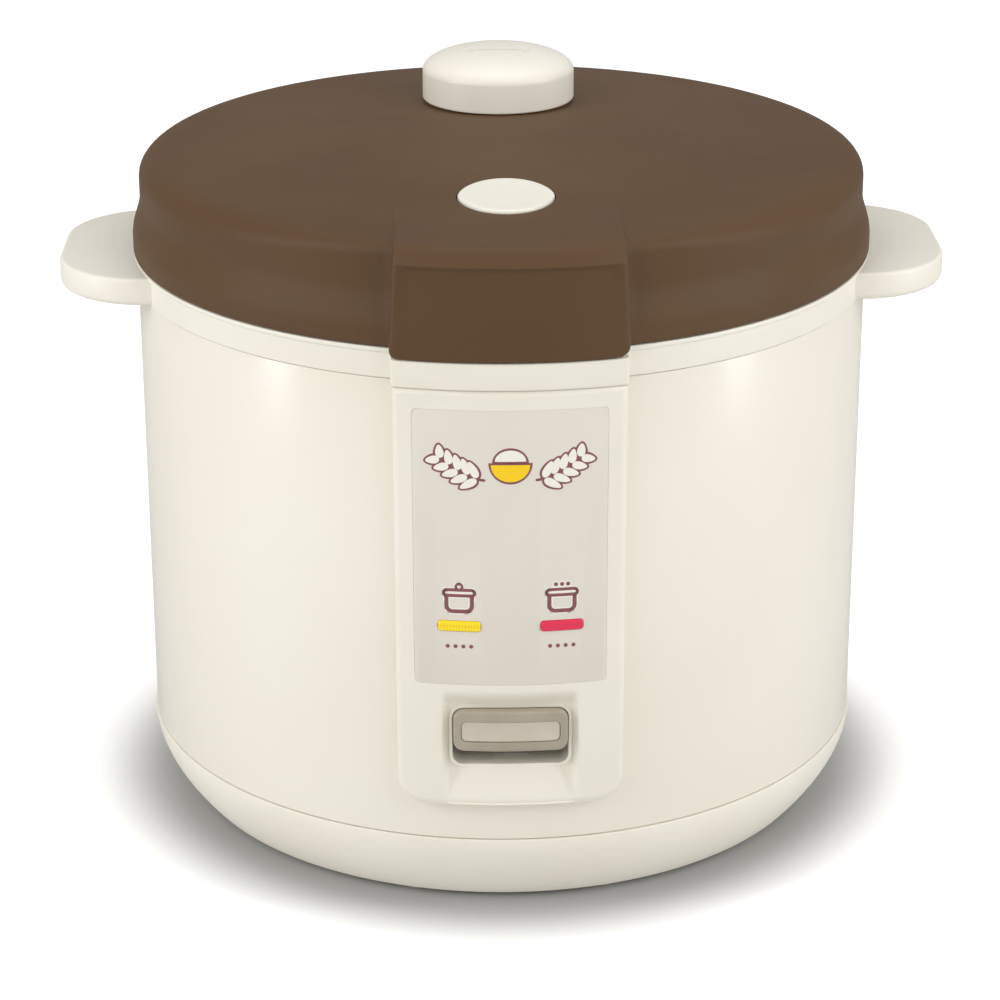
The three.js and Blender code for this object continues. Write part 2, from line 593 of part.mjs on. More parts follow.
// Upper ring with both ears, the bulge above the front panel, the latch hole and the hinge knuckles
const ledgeInner = linerRadius + clearance;
const ringUnder = ledgeTop - ring.topThickness;
const ringSpigotInner = spigotRadius - ring.spigotWall;
const latchPivot = -(lidTopRadius - latch.pivotInset);
const legFront = latchPivot - latch.legThickness / 2;
const legBack = latchPivot + latch.legThickness / 2;
const hingeY = bodyRadius + hinge.out;
const hingeZ = ringTop + hinge.rise;
const edgeFoot = ringTop - ring.edge;
let upperRing = turned([
  [spigotRadius, ringSeam], [bodyRadius, ringSeam], [bodyRadius, edgeFoot],
  [bodyRadius - ring.edge, ringTop], [flangeRadius + clearance, ringTop],
  [flangeRadius + clearance, ledgeTop], [ledgeInner, ledgeTop], [ledgeInner, ringUnder],
  [ringSpigotInner, ringUnder],
  [ringSpigotInner, ringSeam - ring.spigotHeight], [spigotRadius, ringSeam - ring.spigotHeight],
]);
const earCorner = (side, from) => arcPoints(
  earReach - ear.cornerRadius, side * (ear.halfWidth - ear.cornerRadius), ear.cornerRadius, ear.cornerRadius,
  from, from + rightAngle, bendSteps,
);
const earOutline = [
  [earRoot, -ear.halfWidth], ...earCorner(-1, -rightAngle), ...earCorner(1, 0), [earRoot, ear.halfWidth],
];
const earPlate = upright(earOutline, ringSeam, ringSeam + ear.thickness)
  .translate([0, -ear.ahead, 0])
  .subtract(rod(ringSpigotInner + ring.edge, ringSeam - overrun, ringTop + overrun, roundSteps));
upperRing = upperRing.add(earPlate).add(earPlate.mirror([1, 0, 0]));
const bulgeTop = ringTop - ring.bulgeStep;
const bulgeOutline = (low) => roundedOutline(-ring.bulgeHalfWidth, ring.bulgeHalfWidth, low, bulgeTop, 0);
upperRing = upperRing
  .add(frontSlab(bodyRadius - ring.edge, bulgeRadius, bulgeOutline(ringSeam)))
  .add(frontSlab(panelInnerRadius, bulgeRadius, bulgeOutline(ringSeam - ring.bulgeDrop)));
upperRing = upperRing.subtract(block(
  -latch.holeHalfWidth, latch.holeHalfWidth, legFront - latch.holeFront,
  legBack + latch.noseReach + latch.holeBack, ringUnder - overrun, ringTop + overrun,
));
const knuckleOutline = arcPoints(
  hingeY, hingeZ, hinge.knuckleRadius, hinge.knuckleRadius, 0, halfTurn, bendSteps,
);
const blockOutline = [
  ...knuckleOutline, [hingeY - hinge.knuckleRadius, edgeFoot], [bodyRadius - hinge.blockFront, edgeFoot],
  [bodyRadius - hinge.blockFront, ringSeam], [hingeY + hinge.blockBack, ringSeam],
  [hingeY + hinge.knuckleRadius, hingeZ - hinge.knuckleRadius],
];
const knuckleInner = hinge.lidHalfWidth + runningGap;
const knuckleOuter = knuckleInner + hinge.bodyWidth;
const pinBore = crossRod(
  hinge.pinRadius + clearance, -knuckleOuter - overrun, knuckleOuter + overrun, hingeY, hingeZ,
);
const knuckle = sideways(blockOutline, knuckleInner, knuckleOuter);
const knuckleMirror = sideways(blockOutline, -knuckleOuter, -knuckleInner);
const keepOut = rod(bodyRadius - ring.edge, ringSeam - overrun, edgeFoot, roundSteps);
upperRing = upperRing
  .add(knuckle.subtract(keepOut))
  .add(knuckleMirror.subtract(keepOut))
  .subtract(pinBore);
addPart("upper_ring", upperRing, "creamPlastic");

// Hinge pin and the spring that helps the lid up
const pinEnd = knuckleOuter + hinge.pinPast;
addPart("hinge_pin", crossRod(hinge.pinRadius, -pinEnd, pinEnd, 0, 0), "steel", [0, hingeY, hingeZ]);
const hingeCoilRadius = (hinge.pinRadius + hinge.knuckleRadius) / 2;
const hingeSpring = coil(
  hingeCoilRadius, hinge.springWireRadius, hinge.springTurns,
  clearance - hinge.springHalfWidth, hinge.springHalfWidth - clearance,
).rotate([0, rightAngle / degree, 0]);
addPart("hinge_spring", hingeSpring, "steel", [0, hingeY, hingeZ]);

// Front panel with its label field, lamp windows, key scoop and the pegs for the lamp board
const panelOutline = roundedOutline(
  -panel.halfWidth, panel.halfWidth, panelFoot, panelTop, panel.cornerRadius, 0,
);
const panelInside = roundedOutline(
  panel.wall - panel.halfWidth, panel.halfWidth - panel.wall, panelFoot + panel.wall, panelTop - panel.wall,
  panel.cornerRadius - panel.wall, 0,
);
const slotLow = keyFoot - lever.pivotBack * Math.sin(lever.turn) - scoop.slotGap;
const slotHigh = keyTop + scoop.slotGap;
const slotHalf = key.halfWidth + scoop.slotGap;
const slotOutline = roundedOutline(-slotHalf, slotHalf, slotLow, slotHigh, key.cornerRadius);
const scoopLow = slotLow - scoop.rampBelow;
const scoopHigh = slotHigh + scoop.rampAbove;
const pocketHalf = scoop.halfWidth + scoop.wall;
const pocketOutline = roundedOutline(
  -pocketHalf, pocketHalf, scoopLow - scoop.wall, scoopHigh + scoop.wall, 0,
);
const scoopCut = turned([
  [scoopRadius, slotLow], [panelRadius + clearance, scoopLow], [panelRadius + overrun, scoopLow],
  [panelRadius + overrun, scoopHigh], [panelRadius + clearance, scoopHigh], [scoopRadius, slotHigh],
]).intersect(block(
  -scoop.halfWidth, scoop.halfWidth, -panelRadius - overrun, 0, scoopLow - overrun, scoopHigh + overrun,
));
const labelRecess = panelRadius - label.thickness - clearance;
const labelOutline = (gap) => roundedOutline(
  -label.halfWidth - gap, label.halfWidth + gap, labelFoot - gap, labelTop + gap, label.cornerRadius + gap,
);
const lampOutline = (side, gap) => roundedOutline(
  side * lamp.across - lamp.width / 2 - gap, side * lamp.across + lamp.width / 2 + gap,
  lampHeight - lamp.height / 2 - gap, lampHeight + lamp.height / 2 + gap, lamp.cornerRadius + gap,
);
const panelWallInner = panelRadius - panel.wall;
const lensBack = panelWallInner - clearance - lamp.flangeThickness;
const flatShare = Math.cos(halfTurn / roundSteps); // how far in the middle of a flat lies
const bulbFront = clearance - Math.sqrt((lensBack * flatShare) ** 2 - (lamp.across + lamp.bulbRadius) ** 2);
const boardFront = bulbFront + lamp.bulbLength + clearance;
const boardBack = boardFront + lamp.boardThickness;
const pegHeight = boardTop - lamp.pegBelowEdge;
let controlPanel = frontSlab(panelInnerRadius, panelRadius, panelOutline)
  .subtract(frontSlab(panelInnerRadius - overrun, panelWallInner, panelInside))
  .add(frontSlab(scoopRadius - scoop.wall, panelRadius, pocketOutline))
  .subtract(scoopCut)
  .subtract(across(slotOutline, -panelRadius - overrun, 0))
  .subtract(frontSlab(labelRecess, panelRadius + overrun, labelOutline(clearance)));
for (const side of [-1, 1]) {
  const pegX = side * lamp.pegAcross;
  const pegFront = lamp.pegRoot - panelWallInner;
  const pegEnd = boardBack + lamp.pegOut;
  controlPanel = controlPanel
    .subtract(across(lampOutline(side, clearance), -panelRadius - overrun, 0))
    .add(foreRod(lamp.pegRadius, pegFront, boardFront - clearance, pegX, pegHeight, pegSteps))
    .add(foreRod(lamp.pegTipRadius, boardFront - overrun, pegEnd, pegX, pegHeight, pegSteps));
}
addPart("control_panel", controlPanel, "creamPlastic");
let panelLabel = frontSlab(panelRadius - label.thickness, panelRadius, labelOutline(0));
for (const side of [-1, 1]) {
  panelLabel = panelLabel.subtract(across(lampOutline(side, clearance), -panelRadius - overrun, 0));
}
addPart("panel_label", panelLabel, "labelFilm");
for (const [name, side, material] of [["warm_lens", -1, "warmLens"], ["cook_lens", 1, "cookLens"]]) {
  const lens = frontSlab(lensBack, panelRadius + lamp.proud, lampOutline(side, 0))
    .add(frontSlab(lensBack, panelWallInner - clearance, lampOutline(side, lamp.flange)));
  addPart(name, lens, material);
}
let lampBoard = block(
  -lamp.boardHalfWidth, lamp.boardHalfWidth, boardFront, boardBack, boardTop - lamp.boardHeight, boardTop,
);
for (const side of [-1, 1]) {
  const hole = foreRod(
    lamp.pegTipRadius + clearance, boardFront - overrun, boardBack + overrun, side * lamp.pegAcross,
    pegHeight, pegSteps,
  );
  lampBoard = lampBoard.subtract(hole);
}
addPart("lamp_board", lampBoard, "board");
for (const [name, side] of [["warm_lamp", -1], ["cook_lamp", 1]]) {
  const bulb = foreRod(lamp.bulbRadius, bulbFront, boardFront - clearance, side * lamp.across, lampHeight);
  addPart(name, bulb, "glass");
}

// Cook lever: key, insert, arm, pivot, spring and switch
const pivotZ = leverTop - lever.armThickness / 2;
const legFrontY = -(shellInnerRadius - lever.legGap);
const legBackY = legFrontY + lever.legThickness;
const neckLow = keyHeight - lever.neckHeight / 2;
const neckHigh = keyHeight + lever.neckHeight / 2;
const tongueEnd = -(keyBackRadius + key.tongueDepth);
const leverSide = [
  [legFrontY, leverTop - lever.armThickness], [lever.past, leverTop - lever.armThickness],
  [lever.past, leverTop], [legBackY, leverTop], [legBackY, neckHigh], [tongueEnd, neckHigh],
  [tongueEnd, neckLow], [legFrontY, neckLow],
];
const bracketInner = lever.halfWidth + bracket.sideGap;
const bracketOuter = bracketInner + bracket.sheet;
const pivotBore = crossRod(
  pivotPin.radius + clearance, -bracketOuter - overrun, bracketOuter + overrun, leverBack, pivotZ,
);
const cookLever = sideways(leverSide, -lever.halfWidth, lever.halfWidth)
  .add(crossRod(lever.bossRadius, -lever.halfWidth, lever.halfWidth, leverBack, pivotZ))
  .subtract(pivotBore);
addPart("cook_lever", cookLever, "steel");
const insertLow = keyHeight - key.insertHeight / 2;
const insertHigh = keyHeight + key.insertHeight / 2;
const keyOutline = roundedOutline(-key.halfWidth, key.halfWidth, keyFoot, keyTop, key.cornerRadius);
const insertOutline = (gap) => roundedOutline(
  -key.insertHalfWidth - gap, key.insertHalfWidth + gap, insertLow - gap, insertHigh + gap,
  key.insertCorner + gap,
);
const insertFloor = keyFaceRadius - key.insertDepth - clearance;
const cookKey = frontSlab(keyBackRadius, keyFaceRadius, keyOutline)
  .subtract(frontSlab(insertFloor, keyFaceRadius + overrun, insertOutline(clearance)))
  .subtract(block(
    -lever.halfWidth - clearance, lever.halfWidth + clearance, tongueEnd - clearance, overrun - keyBackRadius,
    neckLow - clearance, neckHigh + clearance,
  ));
addPart("cook_key", cookKey, "keyPlastic");
const keyInsert = frontSlab(
  keyFaceRadius - key.insertDepth, keyFaceRadius - key.insertSink, insertOutline(0),
);
addPart("key_insert", keyInsert, "insertPlastic");
const bracketTop = chassisFoot - clearance;
const bracketSide = block(
  bracketInner, bracketOuter, leverBack - bracket.earHalfLength, leverBack + bracket.earHalfLength,
  bracketTop - bracket.earDrop, bracketTop,
);
const bracketSheet = block(
  -bracketOuter, bracketOuter, leverBack - bracket.earHalfLength, leverBack + bracket.earHalfLength,
  bracketTop - bracket.sheet, bracketTop,
);
const leverBracket = bracketSheet.add(bracketSide).add(bracketSide.mirror([1, 0, 0])).subtract(pivotBore);
addPart("lever_bracket", leverBracket, "steel");
const leverPinEnd = bracketOuter + pivotPin.past;
const leverPin = crossRod(pivotPin.radius, -leverPinEnd, leverPinEnd, 0, 0);
addPart("lever_pin", leverPin, "steel", [0, leverBack, pivotZ]);
const leverCoil = coil(
  leverSpring.radius, leverSpring.wire, leverSpring.turns, leverTop + clearance, chassisFoot - clearance,
);
addPart("lever_spring", leverCoil, "steel", [0, leverBack - leverSpring.ahead, 0]);
const switchY = leverBack - microSwitch.ahead;
const switchFoot = bracketTop - microSwitch.height;
const plungerFoot = leverTop + clearance;
const switchHole = rod(
  microSwitch.plungerRadius + clearance, switchFoot - overrun, switchFoot + microSwitch.holeDepth,
).translate([0, switchY, 0]);
const switchBody = block(
  -microSwitch.halfWidth, microSwitch.halfWidth, switchY - microSwitch.length / 2,
  switchY + microSwitch.length / 2, switchFoot, bracketTop,
).subtract(switchHole);
addPart("micro_switch", switchBody, "darkPlastic");
const switchPlunger = rod(microSwitch.plungerRadius, plungerFoot, switchFoot + microSwitch.plungerIn);
addPart("switch_plunger", switchPlunger, "insertPlastic", [0, switchY, 0]);

// Mains inlet at the rear, its two pins and the leads to the element
const mouthY = shellRadius + inlet.standOut;
const cavityBack = mouthY - inlet.depth;
const socketBack = cavityBack - inlet.backWall;
const socketOutline = (grow) => roundedOutline(
  -inlet.halfWidth - grow, inlet.halfWidth + grow, inletFoot - grow, inletTop + grow, inlet.corner,
);
const pinZ = inletFoot + inlet.height / 2 + inlet.pinRise;
const pinBlock = (side, gap, front, back) => block(
  side * inlet.pinAcross - inlet.pinWidth / 2 - gap, side * inlet.pinAcross + inlet.pinWidth / 2 + gap,
  front, back, pinZ - inlet.pinHeight / 2 - gap, pinZ + inlet.pinHeight / 2 + gap,
);
const cavityOutline = roundedOutline(
  inlet.wall - inlet.halfWidth, inlet.halfWidth - inlet.wall, inletFoot + inlet.wall,
  inletTop - inlet.wall, 0,
);
const inletFlange = frontSlab(
  panelInnerRadius, panelInnerRadius + inlet.flangeThickness, socketOutline(inlet.flangeWidth),
);
let inletSocket = across(socketOutline(0), socketBack, mouthY)
  .add(inletFlange.mirror([0, 1, 0]))
  .subtract(across(cavityOutline, cavityBack, mouthY + overrun));
for (const side of [-1, 1]) {
  inletSocket = inletSocket.subtract(pinBlock(side, clearance, socketBack - overrun, cavityBack + overrun));
}
addPart("inlet_socket", inletSocket, "darkPlastic");
const leadZ = chassisTop + lead.aboveChassis;
for (const [name, side] of [["live", 1], ["neutral", -1]]) {
  addPart(`inlet_pin_${name}`, pinBlock(side, 0, socketBack - inlet.tail, mouthY - inlet.pinShort), "brass");
  const pinX = side * inlet.pinAcross;
  const [legReach, legY] = elementLeg(1)[arcSteps];
  const legX = side * Math.abs(legReach);
  const start = pinZ - inlet.pinHeight / 2 - clearance;
  const legSide = legY + element.tubeRadius + clearance;
  const path = [
    [pinX, leadBack, start], [pinX, leadBack, (start + leadZ) / 2], [pinX, leadBack, leadZ + lead.bend],
    [pinX, leadBack - lead.bend, leadZ], [legX, (leadBack + legY) / 2, leadZ],
    [legX, legSide + lead.bend, leadZ], [legX, legSide, leadZ],
  ];
  addPart(`lead_${name}`, swept(path, lead.radius, lead.sides, lead.steps), "sleeve");
}

// Lid cover: dome, skirt, latch flap, vent seat, button opening and hinge knuckles
const domeEdge = lidTopRadius - lid.edgeRound;
function domeHeight(radius) {
  return creaseHeight + lid.crown * (1 - (radius / domeEdge) ** 2);
}
function domePoints(from, to, drop) {
  return Array.from({ length: lid.domeSteps + 1 }, (_, i) => {
    const radius = from + (to - from) * i / lid.domeSteps;
    return [radius, domeHeight(radius) - drop];
  });
}
const lidOuter = turned([
  [0, lidFoot], [lidRadius, lidFoot], [lidRadius, lidFoot + lid.flareBottom],
  [lidTopRadius, lidFoot + lid.flareTop],
  ...arcPoints(domeEdge, creaseHeight - lid.edgeRound, lid.edgeRound, lid.edgeRound, 0, rightAngle),
  ...domePoints(domeEdge, 0, 0).slice(1),
]);
const innerDome = domePoints(domeEdge - lid.wall, 0, lid.wall);
const lidInner = turned([
  [0, lidFoot - overrun], [lidRadius - lid.wall, lidFoot - overrun],
  [lidRadius - lid.wall, lidFoot + lid.flareBottom], [lidTopRadius - lid.wall, lidFoot + lid.flareTop],
  [lidTopRadius - lid.wall, creaseHeight - lid.edgeRound], ...innerDome,
]);
const flapFoot = lidFoot - flap.drop;
const flapCrease = creaseHeight - flap.topFall;
const lidTop = creaseHeight + lid.crown;
const flapCorner = (side, from) => arcPoints(
  side * (flap.halfWidthFoot - flap.cornerRadius), flapFoot + flap.cornerRadius, flap.cornerRadius,
  flap.cornerRadius, from, from + rightAngle,
);
const flapOutline = [
  [flap.halfWidthTop, lidTop], [-flap.halfWidthTop, lidTop],
  ...flapCorner(-1, halfTurn), ...flapCorner(1, -rightAngle),
];
const flapInsideOutline = [
  [flap.halfWidthTop - lid.wall, lidTop], [lid.wall - flap.halfWidthTop, lidTop],
  [lid.wall - flap.halfWidthFoot, flapFoot - overrun], [flap.halfWidthFoot - lid.wall, flapFoot - overrun],
];
const flapEdge = arcPoints(
  flapRadius - flap.edgeRound, flapCrease - flap.edgeRound, flap.edgeRound, flap.edgeRound, 0, rightAngle,
);
const flapOuter = turned([
  [bodyRadius + clearance, flapFoot], [flapRadius, flapFoot], ...flapEdge,
  [flapRootBack, domeHeight(flapRootBack)], [flapRootBack, domeHeight(flapRootBack) - lid.wall],
  [bodyRadius + clearance, flapCrease - lid.edgeRound],
]).intersect(across(flapOutline, -flapRadius - overrun, 0));
const flapInner = turned([
  [flapInsideBack, flapFoot - overrun], [flapRadius - lid.wall, flapFoot - overrun],
  [flapRadius - lid.wall, flapCrease - flap.edgeRound], [flapRadius - flap.edgeRound, flapCrease - lid.wall],
  [flapInsideBack, domeHeight(flapInsideBack) - lid.wall],
]).intersect(across(flapInsideOutline, -flapRadius - overrun, 0));
const seatTop = domeHeight(ventBack) + vent.seatRise;
const seatFoot = domeHeight(ventBack + vent.seatRadius) - lid.wall;
const ventSeat = rod(vent.seatRadius, seatFoot, seatTop, roundSteps).translate([0, ventBack, 0]);
const ventWell = rod(vent.wellRadius, creaseHeight - lid.crown, seatTop + overrun, middleSteps)
  .translate([0, ventBack, 0]);
const buttonOutline = (grow) => arcPoints(
  0, -buttonFront, button.halfWidth + grow, button.halfLength + grow, 0, fullTurn, button.sides,
).slice(0, -1);
const lidKnuckle = crossRod(hinge.knuckleRadius, -hinge.lidHalfWidth, hinge.lidHalfWidth, hingeY, hingeZ)
  .add(block(
    -hinge.lidHalfWidth, hinge.lidHalfWidth, hingeY - hinge.leafFront, hingeY, hingeZ - hinge.leafDrop,
    hingeZ + hinge.knuckleRadius,
  ));
const knuckleRoom = (left, right) => crossRod(hinge.knuckleRadius + runningGap, left, right, hingeY, hingeZ);
const springRoom = knuckleRoom(-hinge.springHalfWidth, hinge.springHalfWidth);
const sideRoom = knuckleRoom(hinge.lidHalfWidth, knuckleOuter + runningGap);
const buttonFoot = domeHeight(buttonFront + button.halfLength) - lid.wall - button.below;
const lidCover = lidOuter.add(flapOuter).add(ventSeat)
  .subtract(lidInner.add(flapInner))
  .add(lidKnuckle.subtract(rod(lidRadius - lid.wall, lidFoot, creaseHeight, roundSteps)))
  .subtract(ventWell)
  .subtract(upright(buttonOutline(runningGap), buttonFoot - overrun, lidTop + overrun))
  .subtract(springRoom)
  .subtract(sideRoom)
  .subtract(sideRoom.mirror([1, 0, 0]))
  .subtract(pinBore);
addPart("lid_cover", lidCover, "brownPlastic");

// Lid liner with the collar for the gasket, the holding pin and the posts of the latch
const gasketOuter = rimRadius;
const gasketInner = gasketOuter - gasket.width;
const collarInner = gasketOuter + clearance;
const collarOuter = collarInner + lidLiner.collarWall;
const lidPlateRadius = lidRadius - lid.wall - clearance;
const dishFoot = innerLidRim - innerLid.dish;
const pinFoot = dishFoot - lidLiner.pinPast;
const latchPivotZ = lidPlateTop + latch.pivotRise;
const latchPostInner = latch.halfWidth + runningGap;
const latchPostOuter = latchPostInner + latch.postWall;
const latchPost = block(
  latchPostInner, latchPostOuter, latchPivot - latch.postHalfLength, latchPivot + latch.postHalfLength,
  lidPlateTop - clearance, latchPivotZ + latch.postHalfLength,
);
const legHole = block(
  -latch.holeHalfWidth, latch.holeHalfWidth, legFront - latch.holeFront,
  legBack + latch.noseReach + latch.holeBack, lidPlateFoot - overrun, lidPlateTop + overrun,
);
const collarFoot = lidPlateFoot - lidLiner.collarDrop;
const lidPlate = turned([
  [0, lidPlateFoot], [collarInner, lidPlateFoot], [collarInner, collarFoot], [collarOuter, collarFoot],
  [collarOuter, lidPlateFoot], [lidPlateRadius, lidPlateFoot], [lidPlateRadius, lidPlateTop],
  [0, lidPlateTop],
]);
const tubeHole = rod(vent.tubeRadius + clearance, lidPlateFoot - overrun, lidPlateTop + overrun)
  .translate([0, ventBack, 0]);
const latchBore = crossRod(
  latch.pinRadius + clearance, -latchPostOuter - overrun, latchPostOuter + overrun, latchPivot, latchPivotZ,
);
const linerSolid = lidPlate
  .add(rod(lidLiner.pinRadius, pinFoot, lidPlateTop))
  .add(rod(lidLiner.headRadius, pinFoot - lidLiner.headHeight, pinFoot))
  .subtract(tubeHole)
  .subtract(legHole)
  .add(latchPost)
  .add(latchPost.mirror([1, 0, 0]))
  .subtract(latchBore);
addPart("lid_liner", linerSolid, "creamPlastic");

// Gasket, inner lid plate and the grommet that holds the plate on the pin
const grooveLow = gasketFoot + gasket.lipThickness;
const grooveHigh = gasketTop - gasket.topThickness;
const lidGasket = turned([
  [gasketInner, gasketFoot], [gasketOuter, gasketFoot], [gasketOuter, gasketTop], [gasketInner, gasketTop],
  [gasketInner, grooveHigh], [gasketInner + gasket.grip, grooveHigh], [gasketInner + gasket.grip, grooveLow],
  [gasketInner, grooveLow],
]);
addPart("lid_gasket", lidGasket, "silicone");
const innerLidRadius = gasketInner + gasket.grip - clearance;
const dishRadius = innerLidRadius - innerLid.dishInset;
const dishInner = dishRadius - innerLid.dishSlope;
const grommetInner = lidLiner.pinRadius + clearance;
const grommetRadius = grommetInner + grommet.wall;
const innerLidPlate = turned([
  [grommetRadius + clearance, dishFoot], [dishInner, dishFoot], [dishRadius, innerLidRim],
  [innerLidRadius, innerLidRim], [innerLidRadius, innerLidRim + innerLid.thickness],
  [dishRadius, innerLidRim + innerLid.thickness], [dishInner, dishFoot + innerLid.thickness],
  [grommetRadius + clearance, dishFoot + innerLid.thickness],
]).subtract(rod(innerLid.ventRadius, dishFoot - overrun, innerLidRim + overrun).translate([0, ventBack, 0]));
addPart("inner_lid_plate", innerLidPlate, "aluminium");
const grommetFlange = grommetRadius + grommet.flange;
const dishTop = dishFoot + innerLid.thickness;
const lowFlangeTop = dishFoot - clearance;
const lowFlangeFoot = lowFlangeTop - grommet.flangeThickness;
const highFlangeFoot = dishTop + clearance;
const highFlangeTop = highFlangeFoot + grommet.flangeThickness;
const lidGrommet = turned([
  [grommetInner, lowFlangeFoot], [grommetFlange, lowFlangeFoot], [grommetFlange, lowFlangeTop],
  [grommetRadius, lowFlangeTop], [grommetRadius, highFlangeFoot], [grommetFlange, highFlangeFoot],
  [grommetFlange, highFlangeTop], [grommetInner, highFlangeTop],
], smallSteps);
addPart("lid_grommet", lidGrommet, "silicone");

// Steam way: tube, cup and cap
const cupFoot = seatTop - vent.cupDepth;
const tubeTop = cupFoot - runningGap;
const tubeFlangeTop = lidPlateFoot - clearance;
const tubeFlangeFoot = tubeFlangeTop - vent.tubeFlangeThickness;
const tubeFlangeRadius = vent.tubeRadius + vent.tubeFlange;
const tubeInner = vent.tubeRadius - vent.tubeWall;
const ventTube = turned([
  [tubeInner, dishTop + clearance], [vent.tubeRadius, dishTop + clearance], [vent.tubeRadius, tubeFlangeFoot],
  [tubeFlangeRadius, tubeFlangeFoot], [tubeFlangeRadius, tubeFlangeTop], [vent.tubeRadius, tubeFlangeTop],
  [vent.tubeRadius, tubeTop], [tubeInner, tubeTop],
], smallSteps);
addPart("vent_tube", ventTube, "silicone", [0, ventBack, 0]);
const cupRadius = vent.wellRadius - runningGap;
const cupTop = seatTop + vent.cupRise;
const ventCup = turned([
  [vent.cupHole, cupFoot], [cupRadius, cupFoot], [cupRadius, cupTop], [cupRadius - vent.cupWall, cupTop],
  [cupRadius - vent.cupWall, cupFoot + vent.cupFloor], [vent.cupHole, cupFoot + vent.cupFloor],
], middleSteps);
addPart("vent_cup", ventCup, "silicone", [0, ventBack, 0]);
const capFootZ = seatTop + clearance;
const capShoulder = capFootZ + vent.sideHeight;
const capInner = vent.radius - vent.wall;
const capCeiling = capShoulder - vent.wall;
const collarRadius = cupRadius + clearance;
const capCollarRadius = collarRadius + vent.collarWall;
const capCollarFoot = capCeiling - vent.collarHeight;
const domeRoom = (vent.crown - vent.wall) * Math.sqrt(1 - (capCollarRadius / capInner) ** 2);
const capCollar = tube(
  collarRadius, capCollarRadius, capCollarFoot, capShoulder + domeRoom + vent.wall / 2, middleSteps,
);
const ventCapBody = turned([
  [capInner, capFootZ], [vent.radius, capFootZ],
  ...arcPoints(0, capShoulder, vent.radius, vent.crown, 0, rightAngle, bendSteps),
  ...arcPoints(0, capShoulder, capInner, vent.crown - vent.wall, 0, rightAngle, bendSteps).reverse(),
], middleSteps).add(capCollar);
const slotFront = -vent.slotAhead - vent.slotWidth;
const steamSlot = upright([
  [-vent.slotHalfLength, slotFront], [vent.slotHalfLength, slotFront],
  [vent.slotHalfLength, -vent.slotAhead], [-vent.slotHalfLength, -vent.slotAhead],
], capShoulder, capShoulder + vent.crown + overrun);
addPart("vent_cap", ventCapBody.subtract(steamSlot), "creamPlastic", [0, ventBack, 0]);

// Release button
const underDome = turned([
  [0, buttonFoot - overrun], [lidRadius, buttonFoot - overrun], ...domePoints(lidRadius, 0, -button.proud),
]);
const latchArmTop = latchPivotZ + latch.armThickness / 2;
const buttonStem = rod(button.stemRadius, latchArmTop + clearance, buttonFoot + clearance);
const releaseButton = upright(buttonOutline(0), buttonFoot, lidTop + overrun)
  .intersect(underDome)
  .add(upright(buttonOutline(button.flange), buttonFoot, buttonFoot + button.flangeThickness))
  .add(buttonStem.translate([0, -buttonFront, 0]));
addPart("release_button", releaseButton, "creamPlastic");

// Latch hook, its pin and the spring that lifts hook arm and button
const armEnd = -buttonFront + latch.armPast;
const hookFoot = ringTop - latch.hookDepth;
const latchSide = [
  [legFront, hookFoot], [legBack + latch.noseReach, hookFoot + latch.noseHeight / 2],
  [legBack + latch.noseReach, hookFoot + latch.noseHeight], [legBack, hookFoot + latch.noseHeight],
  [legBack, latchPivotZ - latch.armThickness / 2], [armEnd, latchPivotZ - latch.armThickness / 2],
  [armEnd, latchArmTop], [legFront, latchArmTop],
];
const latchHook = sideways(latchSide, -latch.halfWidth, latch.halfWidth)
  .add(crossRod(latch.bossRadius, -latch.halfWidth, latch.halfWidth, latchPivot, latchPivotZ))
  .subtract(latchBore);
addPart("latch_hook", latchHook, "keyPlastic");
const latchPin = crossRod(latch.pinRadius, -latchPostOuter, latchPostOuter, 0, 0);
addPart("latch_pin", latchPin, "steel", [0, latchPivot, latchPivotZ]);
const latchCoil = coil(
  latchSpring.radius, latchSpring.wire, latchSpring.turns, lidPlateTop + clearance,
  latchPivotZ - latch.armThickness / 2 - clearance,
);
addPart("latch_spring", latchCoil, "steel", [0, -buttonFront, 0]);

export default group;
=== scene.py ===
import math

import bmesh
import bpy
from mathutils import Matrix, Vector


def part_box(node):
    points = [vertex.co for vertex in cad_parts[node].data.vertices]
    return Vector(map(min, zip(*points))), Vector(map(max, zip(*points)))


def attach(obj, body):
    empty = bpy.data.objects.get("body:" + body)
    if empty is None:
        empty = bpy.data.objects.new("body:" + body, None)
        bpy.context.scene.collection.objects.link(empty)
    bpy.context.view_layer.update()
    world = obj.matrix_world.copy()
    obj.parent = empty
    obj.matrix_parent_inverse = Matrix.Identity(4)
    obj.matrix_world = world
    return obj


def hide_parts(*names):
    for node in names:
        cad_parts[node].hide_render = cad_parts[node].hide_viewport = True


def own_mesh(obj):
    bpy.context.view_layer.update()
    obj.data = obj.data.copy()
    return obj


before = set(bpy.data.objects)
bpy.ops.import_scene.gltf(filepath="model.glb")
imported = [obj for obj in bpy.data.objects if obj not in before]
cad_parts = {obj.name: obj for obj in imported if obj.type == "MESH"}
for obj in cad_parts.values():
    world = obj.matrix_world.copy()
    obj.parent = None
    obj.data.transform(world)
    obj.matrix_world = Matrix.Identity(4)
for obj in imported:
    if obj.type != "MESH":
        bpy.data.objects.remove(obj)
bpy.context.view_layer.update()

# A jar-type rice cooker in cream plastic and coated steel, with a brown hinged lid.
# Metres, +Z up, front towards -Y, in the frame of the solids.
MM = 0.001
GAP = 0.3 * MM
SMOOTH_ANGLE = math.radians(38)
ROUND = 192


# Places that the solids give

def low(node, axis=2):
    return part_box(node)[0][axis]


def high(node, axis=2):
    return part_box(node)[1][axis]


